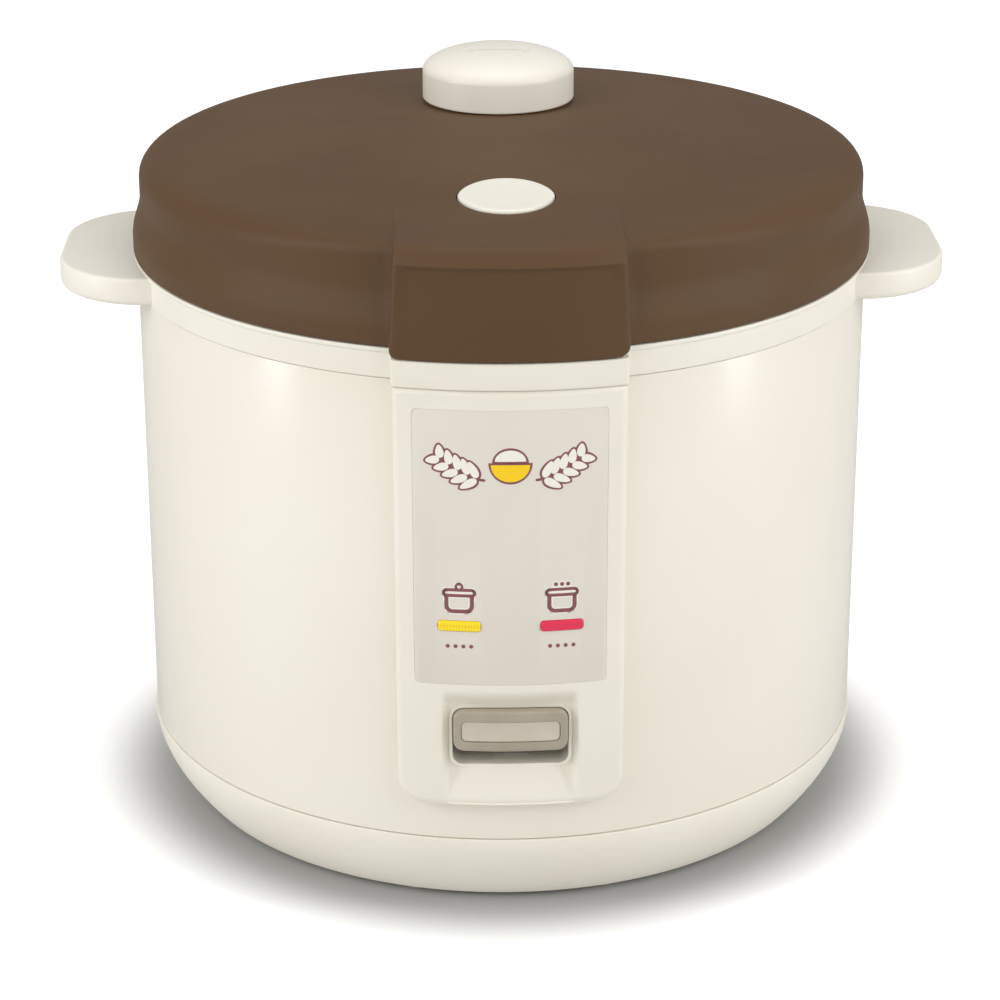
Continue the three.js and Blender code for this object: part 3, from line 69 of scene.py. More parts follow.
BODY_RADIUS = high("base_ring", 0)
SHELL_RADIUS = high("outer_shell", 0)
BASE_FOOT = low("base_ring")
SEAM = low("outer_shell") - GAP
RING_SEAM = high("outer_shell") + GAP
LINER_TOP = high("chamber_liner")
RING_TOP = LINER_TOP + 1.3 * MM
FLANGE_RADIUS = high("chamber_liner", 0)
POT_RIM = high("inner_pot", 0)
POT_RADIUS = POT_RIM - 6.5 * MM
POT_FOOT = low("inner_pot")
POT_TOP = high("inner_pot")
PANEL_RADIUS = -low("control_panel", 1)
PANEL_HALF = high("control_panel", 0)
PANEL_FOOT = low("control_panel")
PANEL_TOP = high("control_panel")
PANEL_INNER = SHELL_RADIUS + GAP
LID_RADIUS = high("lid_cover", 0)
LID_FOOT = RING_TOP + 0.5 * MM
CREASE = LID_FOOT + 33.5 * MM
FLAP_RADIUS = -low("lid_cover", 1)
FLAP_FOOT = low("lid_cover")
HINGE_Y = (low("hinge_pin", 1) + high("hinge_pin", 1)) / 2
HINGE_Z = (low("hinge_pin") + high("hinge_pin")) / 2
VENT_BACK = (low("vent_cap", 1) + high("vent_cap", 1)) / 2


# Mesh helpers

def arc(cx, cy, rx, ry, start, end, steps):
    return [
        (cx + rx * math.cos(start + (end - start) * i / steps),
            cy + ry * math.sin(start + (end - start) * i / steps))
        for i in range(steps + 1)
    ]


def filleted(points, steps=5):
    """A closed section of (radius, height) or (radius, height, fillet) corners, with arcs for its fillets."""
    out = []
    count = len(points)
    for i, point in enumerate(points):
        here = Vector(point[:2])
        fillet = point[2] if len(point) > 2 else 0
        if fillet <= 0:
            out.append(tuple(here))
            continue
        back = Vector(points[i - 1][:2]) - here
        ahead = Vector(points[(i + 1) % count][:2]) - here
        half = back.angle(ahead) / 2
        reach = min(fillet / math.tan(half), 0.49 * back.length, 0.49 * ahead.length)
        radius = reach * math.tan(half)
        middle = (back.normalized() + ahead.normalized()).normalized()
        centre = here + middle * radius / math.sin(half)
        first = here + back.normalized() * reach - centre
        last = here + ahead.normalized() * reach - centre
        turn = first.angle_signed(last)
        for k in range(steps + 1):
            spoke = Matrix.Rotation(-turn * k / steps, 2) @ first
            out.append(tuple(centre + spoke))
    return out


def lathe(section, steps=ROUND, centre=(0, 0)):
    """Vertices and faces of a closed section turned about the vertical axis through centre."""
    verts, faces, rows = [], [], []
    for radius, height in section:
        if radius < 1e-7:
            rows.append([len(verts)])
            verts.append((centre[0], centre[1], height))
            continue
        rows.append(list(range(len(verts), len(verts) + steps)))
        for k in range(steps):
            angle = 2 * math.pi * k / steps
            verts.append((centre[0] + radius * math.sin(angle), centre[1] - radius * math.cos(angle), height))
    for i, row in enumerate(rows):
        following = rows[(i + 1) % len(rows)]
        faces += bridge(row, following, True)
    return verts, faces


def bridge(row, following, closed):
    """Faces between two rows of vertices; a row of one vertex is a pole."""
    if len(row) == 1 and len(following) == 1:
        return []
    count = max(len(row), len(following))
    faces = []
    for k in range(count if closed else count - 1):
        n = (k + 1) % count
        if len(row) == 1:
            faces.append((row[0], following[n], following[k]))
        elif len(following) == 1:
            faces.append((row[k], row[n], following[0]))
        else:
            faces.append((row[k], row[n], following[n], following[k]))
    return faces


def make(name, verts, faces):
    mesh = bpy.data.meshes.new(name)
    mesh.from_pydata([tuple(v) for v in verts], [], faces)
    obj = bpy.data.objects.new(name, mesh)
    bpy.context.scene.collection.objects.link(obj)
    bm = bmesh.new()
    bm.from_mesh(mesh)
    bmesh.ops.remove_doubles(bm, verts=bm.verts, dist=1e-7)
    bmesh.ops.recalc_face_normals(bm, faces=bm.faces)
    bm.to_mesh(mesh)
    bm.free()
    return obj


def mesh_of(obj):
    return [tuple(v.co) for v in obj.data.vertices], [tuple(p.vertices) for p in obj.data.polygons]


def join(*groups):
    """One list of vertices and faces from several."""
    verts, faces = [], []
    for more_verts, more_faces in groups:
        start = len(verts)
        verts += list(more_verts)
        faces += [tuple(i + start for i in face) for face in more_faces]
    return verts, faces


def moved(group, shift=(0, 0, 0), turn=None):
    verts, faces = group
    matrix = Matrix.Translation(shift) @ (turn or Matrix.Identity(4))
    return [tuple(matrix @ Vector(v)) for v in verts], faces


def carve(target, *tools, operation="DIFFERENCE"):
    """The target with each tool cut away, or joined on."""
    for index, (verts, faces) in enumerate(tools):
        tool = make(f"{target.name}_tool_{index}", verts, faces)
        modifier = target.modifiers.new("carve", "BOOLEAN")
        modifier.operation = operation
        modifier.solver = "EXACT"
        modifier.object = tool
        evaluated = target.evaluated_get(bpy.context.evaluated_depsgraph_get())
        mesh = bpy.data.meshes.new_from_object(evaluated)
        target.modifiers.clear()
        target.data = mesh
        bpy.data.objects.remove(tool)
    return target


def prism(outline, start, end, axis, bevel=0.0, steps=2):
    """An outline drawn along one axis, with its edges rounded. The outline lies in the other two axes."""
    bm = bmesh.new()
    place = {
        "X": lambda a, b, d: (d, a, b), "Y": lambda a, b, d: (a, d, b), "Z": lambda a, b, d: (a, b, d),
    }[axis]
    ring_a = [bm.verts.new(place(a, b, start)) for a, b in outline]
    ring_b = [bm.verts.new(place(a, b, end)) for a, b in outline]
    bm.faces.new(ring_a)
    bm.faces.new(ring_b)
    for i in range(len(outline)):
        n = (i + 1) % len(outline)
        bm.faces.new((ring_a[i], ring_a[n], ring_b[n], ring_b[i]))
    bmesh.ops.recalc_face_normals(bm, faces=bm.faces)
    if bevel > 0:
        sharp = [e for e in bm.edges if e.calc_face_angle(0) > SMOOTH_ANGLE]
        bmesh.ops.bevel(bm, geom=sharp, offset=bevel, segments=steps, profile=0.5, affect="EDGES")
    bm.verts.index_update()
    verts = [tuple(v.co) for v in bm.verts]
    faces = [tuple(v.index for v in face.verts) for face in bm.faces]
    bm.free()
    return verts, faces


def box_prism(lo, hi, bevel=0.0):
    outline = [(lo[0], lo[1]), (hi[0], lo[1]), (hi[0], hi[1]), (lo[0], hi[1])]
    return prism(outline, lo[2], hi[2], "Z", bevel)


def rounded_rectangle(half_width, half_height, corner, centre=(0, 0), steps=6):
    points = []
    for quarter, (sx, sy) in enumerate([(1, 1), (-1, 1), (-1, -1), (1, -1)]):
        start = quarter * math.pi / 2
        points += arc(
            centre[0] + sx * (half_width - corner), centre[1] + sy * (half_height - corner),
            corner, corner, start, start + math.pi / 2, steps,
        )
    return points


def pillow(half_width, half_height, corner, depths, centre=(0, 0), front_round=0.5 * MM, steps=4, dish=0.0):
    """A plate with a rounded front edge, in (across, up, depth); depth grows towards the front."""
    back, front = depths
    rings = [(0, back), (0, front - front_round)]
    for k in range(1, steps + 1):
        angle = math.pi / 2 * k / steps
        rings.append((front_round * (1 - math.cos(angle)), front - front_round * (1 - math.sin(angle))))
    if dish:
        inner = min(half_width, half_height) * 0.72
        for share in (0.25, 0.5, 0.75, 1):
            rings.append((front_round + (inner - front_round) * share,
                front - dish * math.sin(share * math.pi / 2)))
    verts, faces, rows = [], [], []
    for inset, depth in rings:
        ring = rounded_rectangle(half_width - inset, half_height - inset, max(corner - inset, 0.15 * MM),
            centre)
        rows.append(list(range(len(verts), len(verts) + len(ring))))
        verts += [(a, b, depth) for a, b in ring]
    for first, second in zip(rows, rows[1:]):
        faces += bridge(first, second, True)
    faces.append(tuple(reversed(rows[0])))
    faces.append(tuple(rows[-1]))
    return verts, faces


def wrap_front(group, radius, spacing=2 * MM, back=False):
    """Bends a flat (across, up, depth) group round the body: depth 0 lies at that radius."""
    verts, faces = group
    bm = bmesh.new()
    made = [bm.verts.new(v) for v in verts]
    for face in faces:
        bm.faces.new([made[i] for i in face])
    lowest = min(v[0] for v in verts)
    highest = max(v[0] for v in verts)
    count = max(1, int((highest - lowest) / spacing))
    for k in range(1, count):
        plane = (lowest + (highest - lowest) * k / count, 0, 0)
        geometry = bm.verts[:] + bm.edges[:] + bm.faces[:]
        bmesh.ops.bisect_plane(bm, geom=geometry, plane_co=plane, plane_no=(1, 0, 0), dist=1e-7)
    bm.verts.index_update()
    out = []
    for v in bm.verts:
        reach = radius + v.co.z
        y = math.sqrt(reach * reach - v.co.x * v.co.x)
        out.append((v.co.x, y if back else -y, v.co.y))
    out_faces = [tuple(v.index for v in face.verts) for face in bm.faces]
    bm.free()
    return out, out_faces


def dress(obj, material, body, replaces=(), inner=None, is_inner=None):
    """Smooth shading with sharp edges, its finish, and the body that it moves with."""
    mesh = obj.data
    bm = bmesh.new()
    bm.from_mesh(mesh)
    bmesh.ops.remove_doubles(bm, verts=bm.verts, dist=2e-7)
    bmesh.ops.dissolve_degenerate(bm, edges=bm.edges, dist=1e-7)
    bm.normal_update()
    for face in bm.faces:
        face.smooth = True
        face.material_index = 0
        if is_inner and is_inner(face.calc_center_median(), face.normal):
            face.material_index = 1
    for edge in bm.edges:
        edge.smooth = edge.calc_face_angle(0) < SMOOTH_ANGLE
    bm.to_mesh(mesh)
    bm.free()
    mesh.materials.clear()
    mesh.materials.append(material)
    if inner:
        mesh.materials.append(inner)
    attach(obj, body)
    if replaces:
        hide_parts(*replaces)
    return obj


# Materials

def colour(code):
    """A linear RGBA from an sRGB hex value."""
    channels = [int(code[i:i + 2], 16) / 255 for i in (1, 3, 5)]
    return tuple(c / 12.92 if c <= 0.04045 else ((c + 0.055) / 1.055) ** 2.4 for c in channels) + (1.0,)


def add(tree, kind, settings=None, **inputs):
    """Adds a node with its settings; an input is a value or another node's output."""
    node = tree.nodes.new(kind)
    for key, value in (settings or {}).items():
        setattr(node, key, value)
    for key, value in inputs.items():
        numbered = key[0] == "i" and key[1:].isdigit()
        socket = node.inputs[int(key[1:]) if numbered else key.replace("_", " ")]
        if isinstance(value, bpy.types.NodeSocket):
            tree.links.new(value, socket)
        else:
            socket.default_value = value
    return node


def finish(name, base, roughness, metallic=0.0, coat=0.0, coat_roughness=0.1, ior=1.5, sheen=0.0):
    """A new material whose shader has those constant values."""
    material = bpy.data.materials.new(name)
    material.use_nodes = True
    tree = material.node_tree
    shader = tree.nodes["Principled BSDF"]
    shader.inputs["Base Color"].default_value = colour(base)
    shader.inputs["Roughness"].default_value = roughness
    shader.inputs["Metallic"].default_value = metallic
    shader.inputs["Coat Weight"].default_value = coat
    shader.inputs["Coat Roughness"].default_value = coat_roughness
    shader.inputs["Sheen Weight"].default_value = sheen
    if metallic < 0.5:
        shader.inputs["IOR"].default_value = ior
    return material, tree, shader


def noise(tree, size, detail=3.0, seed=0.0, stretch=(1, 1, 1)):
    """A noise on object coordinates whose features measure about size."""
    place = add(tree, "ShaderNodeTexCoord").outputs["Object"]
    shift = add(tree, "ShaderNodeMapping", Vector=place, Location=(seed, seed * 0.7, seed * 1.3),
        Scale=stretch)
    return add(
        tree, "ShaderNodeTexNoise", Vector=shift.outputs["Vector"], Scale=1 / size, Detail=detail,
        Roughness=0.55,
    ).outputs["Fac"]


def tint(tree, shader, fac, dark, light, spread=(0.3, 0.7)):
    """Varies the base colour between two hex values with a factor."""
    ramp = add(tree, "ShaderNodeValToRGB", Fac=fac)
    ramp.color_ramp.elements[0].position = spread[0]
    ramp.color_ramp.elements[0].color = colour(dark)
    ramp.color_ramp.elements[1].position = spread[1]
    ramp.color_ramp.elements[1].color = colour(light)
    tree.links.new(ramp.outputs["Color"], shader.inputs["Base Color"])
    return ramp


def gloss_spread(tree, shader, fac, least, most):
    """Varies the roughness between two values with a factor."""
    spread = add(tree, "ShaderNodeMapRange", Value=fac, To_Min=least, To_Max=most)
    tree.links.new(spread.outputs["Result"], shader.inputs["Roughness"])


def relief(tree, shader, fac, depth, strength=1.0):
    """A bump whose full height is depth."""
    bump = add(tree, "ShaderNodeBump", Height=fac, Distance=depth, Strength=strength)
    tree.links.new(bump.outputs["Normal"], shader.inputs["Normal"])


def cream_abs():
    """Injection-moulded ABS in cream, polished in the tool: an even gloss with a very slight waviness."""
    material, tree, shader = finish("cream_moulded_abs", "#EFEADD", 0.34)
    tint(tree, shader, noise(tree, 60 * MM, seed=1.7), "#ECE7D8", "#F1ECE0")
    gloss_spread(tree, shader, noise(tree, 18 * MM, seed=4.1), 0.31, 0.38)
    # Tool waviness about 9 mm long, which bends the edges of reflections
    relief(tree, shader, noise(tree, 9 * MM, detail=2, seed=2.2), 0.02 * MM, 0.5)
    return material


def brown_abs():
    """Injection-moulded ABS in coffee brown. Its fine spark-eroded texture gives a satin sheen."""
    material, tree, shader = finish("brown_satin_abs", "#594127", 0.56)
    shader.inputs["Specular IOR Level"].default_value = 0.3
    tint(tree, shader, noise(tree, 90 * MM, detail=2, seed=3.3), "#553C23", "#5D452A")
    gloss_spread(tree, shader, noise(tree, 14 * MM, seed=5.9), 0.52, 0.6)
    # The grain of the tool is about 0.1 mm; 0.5 mm is the finest that shows here
    relief(tree, shader, noise(tree, 0.5 * MM, detail=2, seed=0.4), 0.006 * MM, 0.6)
    return material


def coated_steel():
    """Steel sheet with baked cream enamel: clear gloss and the slight orange peel of sprayed paint."""
    material, tree, shader = finish("cream_enamelled_steel", "#EEE9DA", 0.27, coat=0.3, coat_roughness=0.14)
    tint(tree, shader, noise(tree, 120 * MM, detail=2, seed=6.1), "#ECE6D6", "#F1ECDF")
    # Orange peel in sprayed enamel has waves of about 2 mm
    relief(tree, shader, noise(tree, 2 * MM, detail=2, seed=8.2), 0.005 * MM, 0.5)
    return material


def label_film():
    """Polycarbonate label film, matt on its face: a fine even haze, a little pinker than the panel."""
    material, tree, shader = finish("label_polycarbonate_film", "#E3DCD0", 0.5)
    tint(tree, shader, noise(tree, 45 * MM, detail=2, seed=9.4), "#E0D9CC", "#E5DED2")
    relief(tree, shader, noise(tree, 0.6 * MM, detail=2, seed=1.4), 0.004 * MM, 0.6)
    return material


def print_ink(name, code):
    """Screen-printed ink: a flat film with slightly uneven cover."""
    material, tree, shader = finish(name, code, 0.5)
    base = Vector(colour(code)[:3])
    ramp = tint(tree, shader, noise(tree, 1.2 * MM, seed=2.8), code, code, (0.25, 0.75))
    ramp.color_ramp.elements[0].color = tuple(base * 0.93) + (1,)
    return material


def key_abs(name, dark, light, rough):
    """Taupe moulded ABS of the cook key: satin, with a soft tool texture."""
    material, tree, shader = finish(name, light, rough)
    tint(tree, shader, noise(tree, 12 * MM, detail=2, seed=7.7), dark, light)
    relief(tree, shader, noise(tree, 0.45 * MM, detail=2, seed=5.5), 0.005 * MM, 0.6)
    return material


def lens_plastic(name, body, rib):
    """Dyed acrylic lens: clear gloss over a row of fine moulded pins that scatter the lamp's light."""
    material, tree, shader = finish(name, body, 0.18, coat=0.4, coat_roughness=0.05, ior=1.49)
    place = add(tree, "ShaderNodeTexCoord").outputs["Object"]
    # Pins about 1 mm apart
    cell = add(tree, "ShaderNodeMapping", Vector=place, Scale=(1 / MM, 0, 1.9 / (3.7 * MM)))
    dots = add(tree, "ShaderNodeTexVoronoi", {"feature": "F1"}, Vector=cell.outputs["Vector"], Scale=1.0,
        Randomness=0.0)
    ramp = add(tree, "ShaderNodeValToRGB", Fac=dots.outputs["Distance"])
    ramp.color_ramp.elements[0].position = 0.12
    ramp.color_ramp.elements[0].color = colour(rib)
    ramp.color_ramp.elements[1].position = 0.26
    ramp.color_ramp.elements[1].color = colour(body)
    tree.links.new(ramp.outputs["Color"], shader.inputs["Base Color"])
    return material


def spun_aluminium():
    """Aluminium sheet spun and brushed in a lathe: fine rings about the axis that stretch the highlight."""
    material, tree, shader = finish("spun_aluminium", "#C9CACB", 0.34, metallic=1.0)
    place = add(tree, "ShaderNodeTexCoord").outputs["Object"]
    parts = add(tree, "ShaderNodeSeparateXYZ", Vector=place)
    across = add(tree, "ShaderNodeCombineXYZ", X=parts.outputs["X"], Y=parts.outputs["Y"], Z=0.0)
    reach = add(tree, "ShaderNodeVectorMath", {"operation": "LENGTH"},
        i0=across.outputs["Vector"]).outputs["Value"]
    # Brush lines about 0.4 mm apart, the finest that shows
    along = add(tree, "ShaderNodeMath", {"operation": "MULTIPLY"}, i0=reach,
        i1=1 / (0.4 * MM)).outputs["Value"]
    lines = add(tree, "ShaderNodeTexNoise", {"noise_dimensions": "1D"}, W=along, Scale=1.0,
        Detail=3.0).outputs["Fac"]
    gloss_spread(tree, shader, lines, 0.26, 0.42)
    relief(tree, shader, lines, 0.01 * MM, 0.5)
    return material


def drawn_aluminium():
    """Drawn aluminium of the pot's outside, with the soft vertical marks of the die."""
    material, tree, shader = finish("drawn_aluminium", "#BFC0C1", 0.38, metallic=1.0)
    marks = noise(tree, 1.5 * MM, detail=3, seed=3.1, stretch=(1, 1, 0.05))
    gloss_spread(tree, shader, marks, 0.3, 0.46)
    relief(tree, shader, marks, 0.01 * MM, 0.4)
    return material


def pot_coating():
    """Non-stick coating in warm grey with fine pale flecks and a low sheen."""
    material, tree, shader = finish("speckled_nonstick", "#56534F", 0.42)
    place = add(tree, "ShaderNodeTexCoord").outputs["Object"]
    flecks = add(tree, "ShaderNodeTexVoronoi", {"feature": "F1"}, Vector=place, Scale=1 / (2.2 * MM),
        Randomness=1.0)
    ramp = add(tree, "ShaderNodeValToRGB", Fac=flecks.outputs["Distance"])
    ramp.color_ramp.elements[0].position = 0.12
    ramp.color_ramp.elements[0].color = colour("#A8A49C")
    ramp.color_ramp.elements[1].position = 0.2
    ramp.color_ramp.elements[1].color = colour("#54514D")
    tree.links.new(ramp.outputs["Color"], shader.inputs["Base Color"])
    relief(tree, shader, noise(tree, 0.7 * MM, seed=6.6), 0.01 * MM, 0.5)
    return material


def zinc_steel(name="zinc_plated_steel", code="#B9BCBE"):
    """Zinc-plated steel sheet: soft grey spangle about 6 mm across under a dull shine."""
    material, tree, shader = finish(name, code, 0.36, metallic=1.0)
    place = add(tree, "ShaderNodeTexCoord").outputs["Object"]
    spangle = add(tree, "ShaderNodeTexVoronoi", {"feature": "F1"}, Vector=place,
        Scale=1 / (6 * MM)).outputs["Color"]
    grey = add(tree, "ShaderNodeRGBToBW", Color=spangle).outputs["Val"]
    tint(tree, shader, grey, "#AEB1B4", "#C6C9CB", (0.1, 0.9))
    gloss_spread(tree, shader, grey, 0.3, 0.44)
    return material


def spring_steel():
    """Drawn spring wire with a thin oil film: bright, with long fine draw marks."""
    material, tree, shader = finish("spring_wire", "#A9ABAD", 0.28, metallic=1.0)
    gloss_spread(tree, shader, noise(tree, 0.8 * MM, seed=2.0), 0.22, 0.36)
    return material


def brass():
    """Nickel-free brass of the contact pins, bright from the press with faint rubbing."""
    material, tree, shader = finish("pressed_brass", "#D2AE63", 0.26, metallic=1.0)
    rub = noise(tree, 3 * MM, seed=1.1, stretch=(1, 0.1, 1))
    tint(tree, shader, rub, "#C49F55", "#DCBB72")
    gloss_spread(tree, shader, rub, 0.2, 0.38)
    return material


def silicone():
    """Milky moulded silicone rubber: soft, slightly translucent and dull."""
    material, tree, shader = finish("milky_silicone", "#E4E1DA", 0.5, ior=1.41)
    shader.inputs["Subsurface Weight"].default_value = 0.15
    shader.inputs["Subsurface Radius"].default_value = (0.004, 0.003, 0.002)
    gloss_spread(tree, shader, noise(tree, 8 * MM, seed=3.9), 0.44, 0.58)
    relief(tree, shader, noise(tree, 1.5 * MM, seed=7.3), 0.01 * MM, 0.4)
    return material


def foot_rubber():
    """Ivory thermoplastic rubber of the feet: matt, with a slightly uneven tone."""
    material, tree, shader = finish("ivory_foot_rubber", "#D9D0BE", 0.72)
    tint(tree, shader, noise(tree, 3 * MM, seed=1.9), "#CFC5B1", "#DED6C6")
    relief(tree, shader, noise(tree, 0.8 * MM, seed=4.4), 0.02 * MM, 0.5)
    return material


def dark_pbt():
    """Black glass-filled PBT of the inlet and the switch: matt, with fine fibre flecks."""
    material, tree, shader = finish("black_glass_filled_pbt", "#2A2928", 0.52)
    tint(tree, shader, noise(tree, 1.0 * MM, detail=4, seed=8.8), "#242322", "#343231", (0.35, 0.75))
    relief(tree, shader, noise(tree, 0.8 * MM, seed=2.6), 0.01 * MM, 0.5)
    return material


def paper_board():
    """Phenolic paper circuit board: brown-yellow with a faint weave."""
    material, tree, shader = finish("phenolic_board", "#B08A4C", 0.6)
    tint(tree, shader, noise(tree, 2 * MM, seed=5.0, stretch=(1, 1, 0.2)), "#A17C42", "#BB9556")
    return material


def fired_ceramic():
    """Fired ferrite and fuse ceramic: dark, dry and faintly grainy."""
    material, tree, shader = finish("fired_ferrite", "#4A4643", 0.7)
    tint(tree, shader, noise(tree, 1.5 * MM, seed=0.9), "#3F3C39", "#57524E")
    relief(tree, shader, noise(tree, 0.9 * MM, seed=0.3), 0.02 * MM, 0.5)
    return material


def lamp_glass():
    """Clear blown glass of the two neon lamps."""
    material, tree, shader = finish("clear_lamp_glass", "#F4F7F7", 0.06, ior=1.47)
    shader.inputs["Transmission Weight"].default_value = 0.9
    relief(tree, shader, noise(tree, 4 * MM, seed=3.5), 0.01 * MM, 0.2)
    return material


def glass_sleeve():
    """Braided glass-fibre sleeve over the leads: pale, with the braid's cross weave about 1 mm wide."""
    material, tree, shader = finish("braided_glass_sleeve", "#D8D2C0", 0.75)
    place = add(tree, "ShaderNodeTexCoord").outputs["Object"]
    weave = add(
        tree, "ShaderNodeTexWave", {"wave_type": "BANDS", "bands_direction": "DIAGONAL"}, Vector=place,
        Scale=1 / (6 * MM), Distortion=1.0,
    ).outputs["Fac"]
    tint(tree, shader, weave, "#C9C2AE", "#E2DDCD")
    relief(tree, shader, weave, 0.1 * MM, 0.5)
    return material


CREAM = cream_abs()
BROWN = brown_abs()
SHELL_PAINT = coated_steel()
LABEL = label_film()
MAROON_INK = print_ink("maroon_ink", "#8A5256")
CREAM_INK = print_ink("cream_ink", "#F8F4EA")
YELLOW_INK = print_ink("yellow_ink", "#FFD400")
KEY = key_abs("taupe_key_abs", "#A39986", "#ADA391", 0.42)
INSERT = key_abs("light_taupe_insert_abs", "#C4BAA9", "#CCC3B3", 0.4)
YELLOW_LENS = lens_plastic("yellow_acrylic_lens", "#FFE000", "#E8B800")
RED_LENS = lens_plastic("red_acrylic_lens", "#E8204F", "#D01044")
ALUMINIUM = spun_aluminium()
POT_OUTSIDE = drawn_aluminium()
POT_INSIDE = pot_coating()
ZINC = zinc_steel()
WIRE = spring_steel()
BRASS = brass()
SILICONE = silicone()
RUBBER = foot_rubber()
BLACK = dark_pbt()
BOARD = paper_board()
FERRITE = fired_ceramic()
GLASS = lamp_glass()
SLEEVE = glass_sleeve()


# Camera, placed by a fit to the photograph

CAMERA_AZIMUTH = math.radians(-1.2)
CAMERA_ROLL = math.radians(-0.12)
CAMERA_REACH = 1.0866
CAMERA_HEIGHT = 0.5274
CAMERA_PITCH = 0.3727
FOCAL_PIXELS = 3132.9
SENSOR = 36.0


def place_camera():
    data = bpy.data.cameras.new("camera")
    data.sensor_width = SENSOR
    data.sensor_fit = "HORIZONTAL"
    data.lens = FOCAL_PIXELS / 1000 * SENSOR
    data.shift_x = -0.0018
    data.shift_y = 0.0008
    data.clip_start = 0.01
    camera = bpy.data.objects.new("camera", data)
    camera.location = (
        CAMERA_REACH * math.sin(CAMERA_AZIMUTH), -CAMERA_REACH * math.cos(CAMERA_AZIMUTH), CAMERA_HEIGHT,
    )
    turn = Matrix.Rotation(CAMERA_AZIMUTH, 3, "Z") @ Matrix.Rotation(math.pi / 2 - CAMERA_PITCH, 3, "X")
    camera.rotation_euler = (turn @ Matrix.Rotation(CAMERA_ROLL, 3, "Z")).to_euler()
    bpy.context.scene.collection.objects.link(camera)
    bpy.context.scene.camera = camera


place_camera()


# Base: ring, pillars, feet, screws and bottom plate

BASE_WALL = 2.5 * MM
BASE_OPENING = 86 * MM
BASE_INSET = 13 * MM
CURVE_TOP = SEAM - 2 * MM
PILLAR_RADIUS = 5 * MM
PILLAR_REACH = 97 * MM
PILLAR_TOP = low("chassis_plate") - GAP
PILLAR_TURN = math.radians(67)
SCREW_HEAD = 3.6 * MM
SPIGOT_RADIUS = SHELL_RADIUS - 1 * MM - GAP


def base_radius(height):
    fall = max(0.0, (CURVE_TOP - height) / (CURVE_TOP - BASE_FOOT))
    return BODY_RADIUS - BASE_INSET * fall ** 1.7


def ring_places(count, reach, turn):
    return [
        (reach * math.sin(turn + 2 * math.pi * i / count), -reach * math.cos(turn + 2 * math.pi * i / count))
        for i in range(count)
    ]


def base_ring():
    steps = 22
    outer = []
    for i in range(steps + 1):
        height = BASE_FOOT + (CURVE_TOP - BASE_FOOT) * (i / steps) ** 1.3
        outer.append((base_radius(height), height, 0.8 * MM if i == 0 else 0))
    floor = BASE_FOOT + BASE_WALL
    inner = []
    for i in range(13):
        height = floor + (SEAM - floor - BASE_WALL) * i / 12
        inner.append((base_radius(height) - BASE_WALL, height))
    spigot_top = SEAM + 7 * MM
    section = filleted([
        (BASE_OPENING, BASE_FOOT, 0.5 * MM), *outer, (BODY_RADIUS, SEAM, 0.35 * MM), (SPIGOT_RADIUS, SEAM),
        (SPIGOT_RADIUS, spigot_top, 0.4 * MM), (SPIGOT_RADIUS - 2 * MM, spigot_top, 0.4 * MM),
        (SPIGOT_RADIUS - 2 * MM, SEAM), *reversed(inner), (BASE_OPENING, floor, 0.4 * MM),
    ], 4)
    ring = make("base_moulding", *lathe(section))
    pillars, bores = [], []
    head_top = BASE_FOOT + 2.9 * MM
    for place in ring_places(4, PILLAR_REACH, PILLAR_TURN):
        pillars.append(lathe([
            (0, BASE_FOOT + 0.2 * MM), (PILLAR_RADIUS, BASE_FOOT + 0.2 * MM), (PILLAR_RADIUS, PILLAR_TOP),
            (0, PILLAR_TOP),
        ], 40, place))
        bores.append(lathe([
            (0, -2 * MM), (SCREW_HEAD + GAP, -2 * MM), (SCREW_HEAD + GAP, head_top), (2 * MM, head_top),
            (2 * MM, PILLAR_TOP + 3 * MM), (0, PILLAR_TOP + 3 * MM),
        ], 40, place))
    carve(ring, join(*pillars), operation="UNION")
    carve(ring, join(*bores))
    dress(ring, CREAM, "cooker_body", ["base_ring"])


def place_by_nodes(name, source, places, material):
    """Geometry Nodes: the source piece on each point, made real and given its material."""
    points = make(f"{name}_points", [(x, y, z) for x, y, z in places], [])
    tree = bpy.data.node_groups.new(f"{name}_pattern", "GeometryNodeTree")
    tree.interface.new_socket("Geometry", in_out="INPUT", socket_type="NodeSocketGeometry")
    size = tree.interface.new_socket("Size", in_out="INPUT", socket_type="NodeSocketFloat")
    tree.interface.new_socket("Geometry", in_out="OUTPUT", socket_type="NodeSocketGeometry")
    entry = add(tree, "NodeGroupInput")
    piece = add(tree, "GeometryNodeObjectInfo", Object=source)
    dots = add(tree, "GeometryNodeMeshToPoints", Mesh=entry.outputs["Geometry"])
    copies = add(
        tree, "GeometryNodeInstanceOnPoints", Points=dots.outputs["Points"],
        Instance=piece.outputs["Geometry"],
        Scale=entry.outputs["Size"],
    )
    real = add(tree, "GeometryNodeRealizeInstances", Geometry=copies.outputs["Instances"])
    painted = add(tree, "GeometryNodeSetMaterial", Geometry=real.outputs["Geometry"], Material=material)
    add(tree, "NodeGroupOutput", Geometry=painted.outputs["Geometry"])
    modifier = points.modifiers.new("pattern", "NODES")
    modifier.node_group = tree
    modifier[size.identifier] = 1.0
    result = settle(points, name)
    bpy.data.objects.remove(source)
    return result


def settle(obj, name):
    """A plain mesh object from one with a modifier, which is removed."""
    evaluated = obj.evaluated_get(bpy.context.evaluated_depsgraph_get())
    mesh = bpy.data.meshes.new_from_object(evaluated)
    obj.modifiers.clear()
    bpy.data.objects.remove(obj)
    plain = bpy.data.objects.new(name, mesh)
    bpy.context.scene.collection.objects.link(plain)
    return plain


